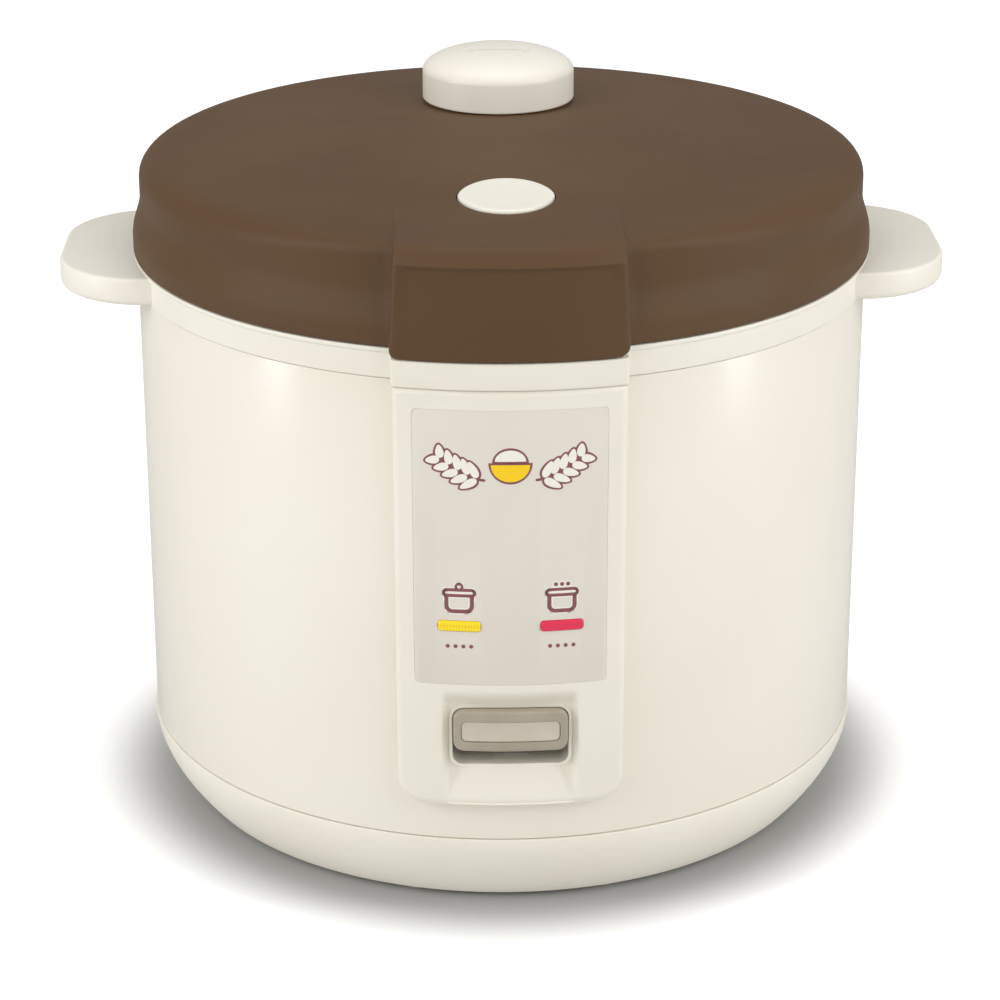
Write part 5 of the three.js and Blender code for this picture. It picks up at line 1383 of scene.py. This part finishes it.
def lid_rows(soft):
    """Points of the outside from the middle to the foot: plain (radius, height) and flap (radius, height)."""
    rows = []
    shared = 112 * MM
    lift = 0.5 * MM * (1 - soft)

    def plain_height(radius):
        return dome(radius) + lift * smooth((radius - 95 * MM) / (25 * MM))

    for k in range(26):
        radius = shared * k / 25
        rise = 0.5 * MM * smooth((radius - FLAP_ROOT) / (shared - FLAP_ROOT))
        rows.append(((radius, plain_height(radius)), (radius, plain_height(radius) + rise)))
    flap_start = rows[-1][1][1]
    wide, high = (3.8 + 9 * soft) * MM, (4.5 + 3.5 * soft) * MM
    edge = LID_TOP_RADIUS - wide
    for k in range(1, 6):
        t = k / 5
        plain = shared + (edge - shared) * t
        reach = shared + (FLAP_RADIUS - 10.6 * MM - shared) * t
        rows.append(((plain, plain_height(plain)), (reach, flap_start + (FLAP_TOP - flap_start) * t)))
    plain_top = plain_height(edge) - high
    plain_arc = arc(edge, plain_top, wide, high, math.pi / 2, 0, 10)[1:]
    rows += list(zip(plain_arc, [(FLAP_RADIUS - back * MM, CREASE + up * MM) for back, up in FLAP_BROW]))
    plain_foot, flap_foot = LID_FOOT + 0.4 * MM, FLAP_FOOT + 0.4 * MM
    stops = [FLAP_SHOULDER, FLAP_SHOULDER - 3 * MM, flap_foot]
    heights = []
    for first, second, pitch in zip(stops, stops[1:], (0.25 * MM, 0.9 * MM)):
        count = math.ceil((first - second) / pitch)
        heights += [first + (second - first) * k / count for k in range(1, count + 1)]
    for height in heights:
        t = (FLAP_SHOULDER - height) / (FLAP_SHOULDER - flap_foot)
        plain = plain_top + (plain_foot - plain_top) * t
        flare = smooth((LID_FOOT + 19 * MM - plain) / (14 * MM))
        rows.append(((LID_TOP_RADIUS + (LID_RADIUS - LID_TOP_RADIUS) * flare, plain), (FLAP_RADIUS, height)))
    return rows


def shifted(points, distance):
    """The same line of points, moved to its inner side."""
    out = []
    for i, (radius, height) in enumerate(points):
        before = Vector(points[max(i - 1, 0)])
        after = Vector(points[min(i + 1, len(points) - 1)])
        along = (after - before).normalized()
        out.append((max(0.0, radius + along.y * distance), height - along.x * distance))
    return out


def lid_line(paths, row, drop_x):
    """One row of the grid: from the middle of the flap round to the back and to the flap again."""
    plain, flap, inset = paths[0][row]
    share = min(1.0, flap[0] / FLAP_ROOT)
    fall = max(0.0, min(1.0, (FLAP_TOP - flap[1]) / (FLAP_TOP - FLAP_FOOT)))
    half = FLAP_HALF_TOP + (FLAP_HALF_FOOT - FLAP_HALF_TOP) * fall - inset
    edge = min(half, flap[0] * math.sin(math.asin((FLAP_HALF_TOP - inset) / FLAP_ROOT)))
    height = math.hypot(plain[0] - flap[0], plain[1] - flap[1])
    ease = FLAP_EDGE_ROUND * share
    corner_drop = min(ease, height)
    right = []
    inside_count = 22

    def flap_point(x):
        z = flap[1]
        reach = flap[0]
        if z < FLAP_SHOULDER:
            corner = (4.2 if drop_x > 0 else 2.4) * MM
            past = max(0.0, x - (edge - corner))
            lift = corner - math.sqrt(max(0.0, corner ** 2 - min(past, corner) ** 2))
            z = z + lift * (FLAP_SHOULDER - z) / (FLAP_SHOULDER - FLAP_FOOT)
        if inset == 0 and z < RECESS_TOP:
            deep = smooth((RECESS_TOP - z) / (2.2 * MM)) * (1 - 0.85 * smooth((RECESS_TOP - z) / (26 * MM)))
            deep *= smooth((edge - 2.0 * MM - x) / (1.6 * MM))
            reach -= 1.1 * MM * deep
        return reach, z

    for k in range(inside_count + 1):
        x = (edge - ease) * k / inside_count
        reach, z = flap_point(x)
        right.append((x, reach, z))
    for k in range(1, 7):
        angle = math.pi / 2 * k / 6
        x = edge - ease + ease * math.sin(angle)
        reach, z = flap_point(x)
        t = corner_drop * (1 - math.cos(angle)) / height if height > 1e-6 else 0
        right.append((x, reach + (plain[0] - reach) * t, z + (plain[1] - z) * t))
    reach, z = flap_point(edge)
    for extra, t in ((0.03, 0.85), (0.2, 0.97), (0.6, 1.0)):
        x = edge + extra * MM * share
        least = corner_drop / height if height > 1e-6 else 0
        t = max(t, least)
        right.append((x, reach + (plain[0] - reach) * t, z + (plain[1] - z) * t))
    points = [(x, -math.sqrt(max(0.0, r * r - x * x)), z) for x, r, z in right]
    start = math.asin(min(1.0, right[-1][0] / max(plain[0], 1e-9)))
    for k in range(1, LID_COLUMNS + 1):
        radius, height = paths[k][row][0]
        angle = column_angle(start, k / LID_COLUMNS)
        points.append((radius * math.sin(angle), -radius * math.cos(angle), height))
    return points


def lid_ring(paths, row):
    right = lid_line(paths, row, 1)
    left = lid_line(paths, row, -1)
    return right + [(-x, y, z) for x, y, z in reversed(left[1:-1])]


def lid_path(soft):
    """The whole section, outside and inside: points beside the flap and on it, and the inset of its sides."""
    outside = lid_rows(soft)
    plain = [row[0] for row in outside]
    flap = [row[1] for row in outside]
    plain_in = shifted(plain, LID_WALL)
    flap_in = shifted(flap, LID_WALL)
    round_foot = 0.4 * MM
    path = [(p, f, 0) for p, f in zip(plain, flap)]
    for k in range(1, 4):
        angle = math.pi / 2 * k / 3
        inset, fall = round_foot * (1 - math.cos(angle)), round_foot * math.sin(angle)
        path.append((
            (plain[-1][0] - inset, plain[-1][1] - fall), (flap[-1][0] - inset, flap[-1][1] - fall), 0,
        ))
    path.append(((plain_in[-1][0], LID_FOOT), (flap_in[-1][0], FLAP_FOOT), LID_WALL))
    path += [(p, f, LID_WALL) for p, f in zip(reversed(plain_in), reversed(flap_in))]
    return path


def lid_surface():
    paths = [lid_path(softness(k / LID_COLUMNS)) for k in range(LID_COLUMNS + 1)]
    verts, rows = [], []
    for row, (plain, _, _) in enumerate(paths[0]):
        if plain[0] < 1e-6:
            rows.append([len(verts)])
            verts.append((0, 0, plain[1]))
            continue
        ring = lid_ring(paths, row)
        rows.append(list(range(len(verts), len(verts) + len(ring))))
        verts += ring
    faces = []
    for first, second in zip(rows, rows[1:]):
        faces += bridge(first, second, True)
    return verts, faces


def button_outline(grow, steps=72):
    """The button's plan: a circle drawn out to soft points at its two sides."""
    points = []
    for k in range(steps):
        angle = 2 * math.pi * k / steps
        c, s = math.cos(angle), math.sin(angle)
        across = (BUTTON_HALF + grow) * c
        along = (BUTTON_LENGTH + grow) * math.copysign(abs(s) ** 1.18, s)
        points.append((across, BUTTON_FRONT + along))
    return points


SEAT_RADIUS = 27 * MM


def lid_cover():
    lid = make("lid_moulding", *lid_surface())
    seat_top = dome(VENT_BACK) + 0.7 * MM
    seat = lathe(filleted([
        (0, seat_top - 6 * MM), (SEAT_RADIUS, seat_top - 6 * MM), (SEAT_RADIUS, seat_top, 0.5 * MM),
        (0, seat_top),
    ], 4), 96, (0, VENT_BACK))
    carve(lid, seat, operation="UNION")
    well = lathe([
        (0, CREASE - 14 * MM), (14 * MM, CREASE - 14 * MM), (14 * MM, CREASE + 20 * MM),
        (0, CREASE + 20 * MM),
    ], 64, (0, VENT_BACK))
    opening = prism(button_outline(0.5 * MM), CREASE - 14 * MM, CREASE + 20 * MM, "Z")
    carve(lid, well, opening)
    barrel = prism(
        arc(HINGE_Y, HINGE_Z, KNUCKLE, KNUCKLE, -0.5 * math.pi, 0.5 * math.pi, 14) + [
            (HINGE_Y - 8 * MM, HINGE_Z + KNUCKLE), (HINGE_Y - 8 * MM, HINGE_Z - 1.5 * MM),
            (HINGE_Y - 5 * MM, HINGE_Z - 2 * MM), (HINGE_Y - 3.6 * MM, HINGE_Z - 2.7 * MM),
        ],
        -LID_KNUCKLE_HALF, LID_KNUCKLE_HALF, "X", 0.4 * MM,
    )
    barrel_tool = make("barrel_tool", *barrel)
    room = KNUCKLE + 0.5 * MM
    spring_room = prism(arc(HINGE_Y, HINGE_Z, room, room, 0, 2 * math.pi, 32)[:-1], -8 * MM, 8 * MM, "X")
    inside = lathe([(0, 0.1), (LID_RADIUS - 2.3 * MM, 0.1), (LID_RADIUS - 2.3 * MM, 0.3), (0, 0.3)], 256)
    carve(barrel_tool, spring_room, inside)
    barrel = mesh_of(barrel_tool)
    bpy.data.objects.remove(barrel_tool)
    side_rooms = []
    for side in (-1, 1):
        ends = sorted((side * LID_KNUCKLE_HALF, side * (BODY_KNUCKLE + BODY_KNUCKLE_WIDTH + 0.5 * MM)))
        side_rooms.append(prism(arc(HINGE_Y, HINGE_Z, room, room, 0, 2 * math.pi, 32)[:-1], ends[0],
            ends[1], "X"))
    carve(lid, barrel, operation="UNION")
    bore = prism(arc(HINGE_Y, HINGE_Z, 2.3 * MM, 2.3 * MM, 0, 2 * math.pi, 24)[:-1], -0.04, 0.04, "X")
    carve(lid, *side_rooms, spring_room, bore)
    dress(lid, BROWN, "lid", ["lid_cover"])


def release_button():
    rim = 0.9 * MM
    foot = low("release_button")
    shelf = dome(-BUTTON_FRONT + BUTTON_LENGTH) - LID_WALL - 1.9 * MM
    outline = button_outline(0)
    centre = Vector((0, BUTTON_FRONT))
    verts, rows, faces = [], [], []

    def ring(scale_inset, height_of):
        row = []
        for x, y in outline:
            spoke = Vector((x, y)) - centre
            inner = centre + spoke * (1 - scale_inset / spoke.length)
            row.append(len(verts))
            verts.append((inner.x, inner.y, height_of(inner)))
        rows.append(row)

    def over_dome(lift):
        return lambda p: dome(math.hypot(p.x, p.y)) + lift

    ring(0, lambda p: shelf)
    ring(0, over_dome(0.2 * MM))
    for k in range(1, 6):
        angle = math.pi / 2 * k / 5
        ring(rim * (1 - math.cos(angle)), over_dome(1.05 * MM - rim * (1 - math.sin(angle))))
    for share in (0.16, 0.24, 0.36, 0.5, 0.66, 0.82, 0.93):
        dip = 0.28 * MM * smooth((share - 0.12) / 0.3)
        ring(share * BUTTON_HALF, over_dome(1.05 * MM - dip))
    for first, second in zip(rows, rows[1:]):
        faces += bridge(first, second, True)
    faces.append(tuple(reversed(rows[0])))
    faces.append(tuple(rows[-1]))
    flange = prism(button_outline(1.3 * MM), shelf, shelf + 1.3 * MM, "Z")
    post = lathe([(0, foot), (3 * MM, foot), (3 * MM, shelf + 0.3 * MM), (0, shelf + 0.3 * MM)], 24,
        (0, BUTTON_FRONT))
    button = make("button_moulding", *join((verts, faces), flange, post))
    dress(button, CREAM, "release_button", ["release_button"])


def vent_cap():
    radius = high("vent_cap", 0)
    foot, top = low("vent_cap"), high("vent_cap")
    side_height = 10.4 * MM
    shoulder = foot + side_height
    rise = top - shoulder
    wall = 2 * MM
    shares = [math.sin(math.pi / 2 * k / 16) for k in range(15, 0, -1)]
    slope = [(radius * share, shoulder + rise * (1 - share ** 2.3) ** 0.5) for share in shares]
    ceiling = top - 4.2 * MM
    section = filleted([
        (radius - wall, foot, 0.4 * MM), (radius, foot, 0.7 * MM), (radius, shoulder, 0.25 * MM),
        *slope, (0, top), (0, ceiling), (17 * MM, ceiling, 1 * MM),
        (radius - wall, shoulder - 1 * MM, 1 * MM),
    ], 5)
    collar = lathe(filleted([
        (13.8 * MM, ceiling - 4 * MM, 0.3 * MM), (15.4 * MM, ceiling - 4 * MM, 0.3 * MM),
        (15.4 * MM, ceiling + 0.5 * MM), (13.8 * MM, ceiling + 0.5 * MM),
    ], 3), 96, (0, VENT_BACK))
    cap = make("cap_moulding", *lathe(section, 160, (0, VENT_BACK)))
    carve(cap, collar, operation="UNION")
    slit = prism(
        rounded_rectangle(12 * MM, 0.5 * MM, 0.46 * MM, (0, VENT_BACK - 4.2 * MM), 4), top - 6 * MM,
        top + MM, "Z",
    )
    line = prism(
        rounded_rectangle(8.5 * MM, 0.4 * MM, 0.38 * MM, (0, VENT_BACK - 11 * MM), 4), top - 1.05 * MM,
        top + MM, "Z",
    )
    carve(cap, slit, line)
    dress(cap, CREAM, "vent_cap", ["vent_cap"])
    cup_radius = high("vent_cup", 0)
    cup_foot, cup_top = low("vent_cup"), high("vent_cup")
    cup = lathe(filleted([
        (4 * MM, cup_foot, 0.4 * MM), (cup_radius, cup_foot, 1.2 * MM), (cup_radius, cup_top, 0.5 * MM),
        (cup_radius - 1.8 * MM, cup_top, 0.5 * MM), (cup_radius - 1.8 * MM, cup_foot + 1.5 * MM, 1 * MM),
        (4 * MM, cup_foot + 1.5 * MM, 0.4 * MM),
    ], 4), 96, (0, VENT_BACK))
    dress(make("steam_cup", *cup), SILICONE, "vent_cap", ["vent_cup"])


# Under the lid: liner, gasket, inner plate, grommet and steam tube

def lid_liner():
    foot = low("lid_liner")
    gasket_top = high("lid_gasket")
    plate_foot = gasket_top + GAP
    plate_top = plate_foot + 2 * MM
    radius = high("lid_liner", 0)
    collar_inner = POT_RIM + GAP
    collar_outer = collar_inner + 2 * MM
    collar_foot = plate_foot - 4 * MM
    section = filleted([
        (0, plate_foot), (collar_inner, plate_foot, 0.5 * MM), (collar_inner, collar_foot, 0.6 * MM),
        (collar_outer, collar_foot, 0.6 * MM), (collar_outer, plate_foot, 0.8 * MM),
        (radius - 3 * MM, plate_foot, 0.5 * MM), (radius, plate_foot + 0.6 * MM, 0.5 * MM),
        (radius, plate_top, 0.3 * MM),
        (0, plate_top),
    ], 4)
    liner = make("liner_moulding", *lathe(section))
    pin_foot = foot + 1.4 * MM
    pin = lathe(filleted([
        (0, foot), (4.2 * MM, foot, 0.7 * MM), (4.2 * MM, pin_foot, 0.4 * MM), (3 * MM, pin_foot + 0.1 * MM),
        (3 * MM, plate_foot + 0.5 * MM), (0, plate_foot + 0.5 * MM),
    ], 4), 48)
    pivot_y = (low("latch_pin", 1) + high("latch_pin", 1)) / 2
    pivot_z = (low("latch_pin") + high("latch_pin")) / 2
    posts = []
    for side in (-1, 1):
        ends = sorted((side * 6.5 * MM, side * 9.1 * MM))
        posts.append(box_prism(
            (ends[0], pivot_y - 3.5 * MM, plate_top - 0.4 * MM),
            (ends[1], pivot_y + 3.5 * MM, pivot_z + 3.5 * MM),
        ))
    carve(liner, pin, *posts, operation="UNION")
    tube = lathe([
        (0, plate_foot - 3 * MM), (8.8 * MM, plate_foot - 3 * MM), (8.8 * MM, plate_top + 3 * MM),
        (0, plate_top + 3 * MM),
    ], 48, (0, VENT_BACK))
    slot = box_prism(
        (LATCH_HOLE[0][0], LATCH_HOLE[0][1], plate_foot - 3 * MM),
        (LATCH_HOLE[1][0], LATCH_HOLE[1][1], plate_top + 3 * MM),
    )
    bore = prism(arc(pivot_y, pivot_z, 1.8 * MM, 1.8 * MM, 0, 2 * math.pi, 20)[:-1], -12 * MM, 12 * MM, "X")
    carve(liner, tube, slot, bore)
    dress(liner, CREAM, "lid", ["lid_liner"])


def lid_gasket():
    outer = high("lid_gasket", 0)
    foot, top = low("lid_gasket"), high("lid_gasket")
    inner = outer - 4.7 * MM
    grip = inner + 2.3 * MM
    section = filleted([
        (inner, foot, 0.5 * MM), (outer - 1 * MM, foot, 0.6 * MM), (outer, foot + 0.9 * MM, 0.4 * MM),
        (outer, top, 0.4 * MM),
        (inner, top, 0.4 * MM), (inner, top - 1.3 * MM, 0.3 * MM), (grip, top - 1.3 * MM),
        (grip, foot + 1.4 * MM),
        (inner, foot + 1.4 * MM, 0.3 * MM),
    ], 3)
    dress(make("gasket_ring", *lathe(section)), SILICONE, "lid", ["lid_gasket"])


def inner_lid_plate():
    radius = high("inner_lid_plate", 0)
    foot, top = low("inner_lid_plate"), high("inner_lid_plate")
    thick = 1 * MM
    rim = top - thick
    under, over = [], []
    for reach, height in (
        (6.6, 0), (30, 0), (33, 0.9), (36, 0.9), (39, 0), (62, 0), (65, 0.9), (68, 0.9), (71, 0), (91, 0),
    ):
        under.append((reach * MM, foot + height * MM, 1.2 * MM))
        over.append((reach * MM, foot + thick + height * MM, 1.2 * MM))
    section = filleted([
        *under, (96 * MM, rim, 2 * MM), (radius, rim, 0.4 * MM), (radius, top, 0.4 * MM),
        (96.6 * MM, top, 2 * MM),
        *reversed(over),
    ], 4)
    plate = make("inner_lid_dish", *lathe(section))
    holes = [lathe([
        (0, foot - 2 * MM), (5 * MM, foot - 2 * MM), (5 * MM, top + 2 * MM), (0, top + 2 * MM),
    ], 40, (0, VENT_BACK))]
    carve(plate, *holes)
    dress(plate, ALUMINIUM, "lid", ["inner_lid_plate"])


def lid_grommet():
    foot, top = low("lid_grommet"), high("lid_grommet")
    inner = 3.3 * MM
    middle = inner + 2.9 * MM
    outer = middle + 2.8 * MM
    section = filleted([
        (inner, foot, 0.3 * MM), (outer, foot, 0.8 * MM), (outer, foot + 1.7 * MM, 0.4 * MM),
        (middle, foot + 1.7 * MM),
        (middle, top - 1.7 * MM), (outer, top - 1.7 * MM, 0.4 * MM), (outer, top, 0.6 * MM),
        (inner, top, 0.3 * MM),
    ], 3)
    dress(make("grommet_ring", *lathe(section, 64)), SILICONE, "lid", ["lid_grommet"])


def vent_tube():
    foot, top = low("vent_tube"), high("vent_tube")
    flange_top = high("lid_gasket")
    section = filleted([
        (6.2 * MM, foot, 0.4 * MM), (8.5 * MM, foot, 0.4 * MM), (8.5 * MM, flange_top - 1.5 * MM),
        (12 * MM, flange_top - 1.5 * MM, 0.4 * MM), (12 * MM, flange_top, 0.4 * MM), (8.5 * MM, flange_top),
        (8.5 * MM, top, 0.4 * MM), (6.2 * MM, top, 0.4 * MM),
    ], 3)
    dress(make("steam_tube", *lathe(section, 64, (0, VENT_BACK))), SILICONE, "lid", ["vent_tube"])


# Mains inlet and its pins

def inlet():
    lo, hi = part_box("inlet_socket")
    flange = 4 * MM
    mouth = hi[1]
    middle = (lo[2] + hi[2]) / 2
    half = (hi[0] - flange, (hi[2] - lo[2]) / 2 - flange)
    barrel = prism(rounded_rectangle(half[0], half[1], 3 * MM, (0, middle), 6), lo[1], mouth, "Y", 0.6 * MM,
        3)
    socket = make("inlet_moulding", *barrel)
    plate = wrap_front(pillow(
        hi[0], (hi[2] - lo[2]) / 2, 3 * MM, (0, 2.5 * MM), (0, middle), 0.7 * MM,
    ), PANEL_INNER, 2 * MM, back=True)
    carve(socket, plate, operation="UNION")
    cavity = prism(rounded_rectangle(12 * MM, 8 * MM, 1.5 * MM, (0, middle), 4), mouth - 14.5 * MM,
        mouth + 5 * MM, "Y")
    pins = []
    for node in ("inlet_pin_live", "inlet_pin_neutral"):
        pin_lo, pin_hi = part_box(node)
        pins.append(box_prism(
            (pin_lo[0] - GAP, lo[1] - 2 * MM, pin_lo[2] - GAP),
            (pin_hi[0] + GAP, mouth - 10 * MM, pin_hi[2] + GAP),
        ))
    carve(socket, cavity, *pins)
    dress(socket, BLACK, "cooker_body", ["inlet_socket"])
    for node in ("inlet_pin_live", "inlet_pin_neutral"):
        blade = make(f"{node}_blade", *box_prism(*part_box(node), 0.4 * MM))
        dress(blade, BRASS, "cooker_body", [node])


# Springs, wound by Geometry Nodes from their node's box

def wound(name, height, coil_radius, wire, turns):
    """Geometry Nodes: a helix with a round wire, standing on the origin along Z."""
    tree = bpy.data.node_groups.new(f"{name}_winding", "GeometryNodeTree")
    sockets = {}
    for label_text, kind in (("Turns", "Float"), ("Coil radius", "Float"), ("Wire radius", "Float"),
        ("Length", "Float")):
        sockets[label_text] = tree.interface.new_socket(label_text, in_out="INPUT",
            socket_type=f"NodeSocket{kind}")
    tree.interface.new_socket("Geometry", in_out="OUTPUT", socket_type="NodeSocketGeometry")
    entry = add(tree, "NodeGroupInput")
    helix = add(
        tree, "GeometryNodeCurveSpiral", Resolution=24, Rotations=entry.outputs["Turns"],
        Start_Radius=entry.outputs["Coil radius"], End_Radius=entry.outputs["Coil radius"],
        Height=entry.outputs["Length"],
    )
    section = add(tree, "GeometryNodeCurvePrimitiveCircle", Resolution=10,
        Radius=entry.outputs["Wire radius"])
    tube = add(
        tree, "GeometryNodeCurveToMesh", Curve=helix.outputs["Curve"], Profile_Curve=section.outputs["Curve"],
        Fill_Caps=True,
    )
    real = add(tree, "GeometryNodeRealizeInstances", Geometry=tube.outputs["Mesh"])
    painted = add(tree, "GeometryNodeSetMaterial", Geometry=real.outputs["Geometry"], Material=WIRE)
    add(tree, "NodeGroupOutput", Geometry=painted.outputs["Geometry"])
    holder = make(f"{name}_holder", [(0, 0, 0)], [])
    modifier = holder.modifiers.new("winding", "NODES")
    modifier.node_group = tree
    for label_text, value in (("Turns", turns), ("Coil radius", coil_radius), ("Wire radius", wire),
        ("Length", height)):
        modifier[sockets[label_text].identifier] = float(value)
    return settle(holder, name)


def springs():
    presses = {"sensor_spring": "sensor_press", "latch_spring": "latch_turn"}
    for node, wire, turns, upright in (
        ("sensor_spring", 0.6 * MM, 5, True), ("lever_spring", 0.45 * MM, 5, True),
        ("latch_spring", 0.5 * MM, 4, True), ("hinge_spring", 0.35 * MM, 9, False),
    ):
        lo, hi = (Vector(corner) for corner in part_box(node))
        middle = (lo + hi) / 2
        length = (hi.z - lo.z if upright else hi.x - lo.x) - 2 * wire
        reach = (hi.x - lo.x if upright else hi.z - lo.z) / 2 - wire
        spring = wound(f"{node}_wire", length, reach, wire, turns)
        if upright:
            matrix = Matrix.Translation((middle.x, middle.y, lo.z + wire))
        else:
            matrix = Matrix.Translation((lo.x + wire, middle.y, middle.z)) @ Matrix.Rotation(math.pi / 2, 4,
                "Y")
        spring.data.transform(matrix)
        body = "lid" if node == "latch_spring" else "cooker_body"
        dress(spring, WIRE, body, [node])
        if node in presses:
            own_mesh(spring)


# The solids that stay, with their finishes

KEPT = {
    "chassis_plate": ZINC, "heating_element": ZINC, "thermal_fuse": FERRITE, "fuse_clip": ZINC,
    "sensor_can": ALUMINIUM, "sensor_ferrite": FERRITE, "magnet": FERRITE, "magnet_rod": BRASS,
    "hinge_pin": ZINC, "lamp_board": BOARD, "warm_lamp": GLASS, "cook_lamp": GLASS, "cook_lever": ZINC,
    "lever_bracket": ZINC, "lever_pin": ZINC, "micro_switch": BLACK, "switch_plunger": INSERT,
    "lead_live": SLEEVE, "lead_neutral": SLEEVE, "latch_hook": KEY, "latch_pin": ZINC,
}


def finish_kept():
    for node, material in KEPT.items():
        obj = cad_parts[node]
        if not obj.material_slots:
            obj.data.materials.append(material)
        for slot in obj.material_slots:
            slot.material = material


base_ring()
feet()
base_screws()
bottom_plate()
outer_shell()
chamber_liner()
warm_band()
heating_plate()
inner_pot()
level_marks()
upper_ring()
control_panel()
lenses()
label()
graphics()
cook_key()
lid_cover()
release_button()
vent_cap()
lid_liner()
lid_gasket()
inner_lid_plate()
lid_grommet()
vent_tube()
inlet()
springs()
finish_kept()


# Studio: a white floor that keeps the soft shadow and carries a painted shadow round the base, and large
# plain lights

def studio():
    floor = make("floor", [(-6, -6, 0), (6, -6, 0), (6, 6, 0), (-6, 6, 0)], [(0, 1, 2, 3)])
    material = bpy.data.materials.new("white_sweep_paper")
    material.use_nodes = True
    tree = material.node_tree
    tree.nodes.clear()
    place = add(tree, "ShaderNodeTexCoord").outputs["Object"]
    reach = add(tree, "ShaderNodeVectorMath", {"operation": "LENGTH"}, i0=place).outputs["Value"]

    def rise(near, far, low_value, high_value):
        ramp = add(tree, "ShaderNodeMapRange", {"interpolation_type": "SMOOTHSTEP"}, Value=reach)
        for socket, value in zip(("From Min", "From Max", "To Min", "To Max"),
            (near, far, low_value, high_value)):
            ramp.inputs[socket].default_value = value
        return ramp.outputs["Result"]

    # Painted shadow: the paper seen by the camera is darker near the base and does not glow there, which
    # paints a dense shadow round it; beyond it the paper glows so that it fades to plain white
    painted_shadow_paper = add(tree, "ShaderNodeBsdfDiffuse", Color=rise(0.12, 0.155, 0.4, 0.86))
    glow = add(tree, "ShaderNodeEmission", Color=(1, 1, 1, 1), Strength=rise(0.125, 0.185, 0, 0.55))
    seen = add(tree, "ShaderNodeAddShader", i0=painted_shadow_paper.outputs["BSDF"], i1=glow.outputs["Emission"])
    paper = add(tree, "ShaderNodeBsdfDiffuse", Color=(0.7, 0.7, 0.7, 1))
    path = add(tree, "ShaderNodeLightPath").outputs["Is Camera Ray"]
    mix = add(tree, "ShaderNodeMixShader", Fac=path, i1=paper.outputs["BSDF"], i2=seen.outputs["Shader"])
    add(tree, "ShaderNodeOutputMaterial", Surface=mix.outputs["Shader"])
    floor.data.materials.append(material)
    world = bpy.data.worlds.new("studio")
    world.use_nodes = True
    bpy.context.scene.world = world
    background = world.node_tree.nodes["Background"]
    background.inputs["Color"].default_value = (1, 1, 1, 1)
    background.inputs["Strength"].default_value = 0.4
    lamps = (
        ("left_softbox", (-0.9, -1.1, 0.95), (0.9, 1.0), 5.6),
        ("right_softbox", (0.9, -1.1, 0.95), (0.9, 1.0), 5.4),
        ("left_strip", (-1.2, -0.45, 0.5), (0.2, 1.4), 6.6),
        ("right_strip", (1.2, -0.4, 0.5), (0.2, 1.4), 6.4),
        ("top_softbox", (0.0, 0.2, 1.7), (1.6, 1.2), 8.2),
    )
    for name, place, size, power in lamps:
        data = bpy.data.lights.new(name, "AREA")
        data.shape = "RECTANGLE"
        data.size, data.size_y = size
        data.energy = power
        lamp = bpy.data.objects.new(name, data)
        lamp.location = place
        aim = Vector((0, 0, 0.12)) - Vector(place)
        lamp.rotation_euler = aim.to_track_quat("-Z", "Y").to_euler()
        bpy.context.scene.collection.objects.link(lamp)
    bpy.context.scene.view_settings.view_transform = "Standard"


studio()
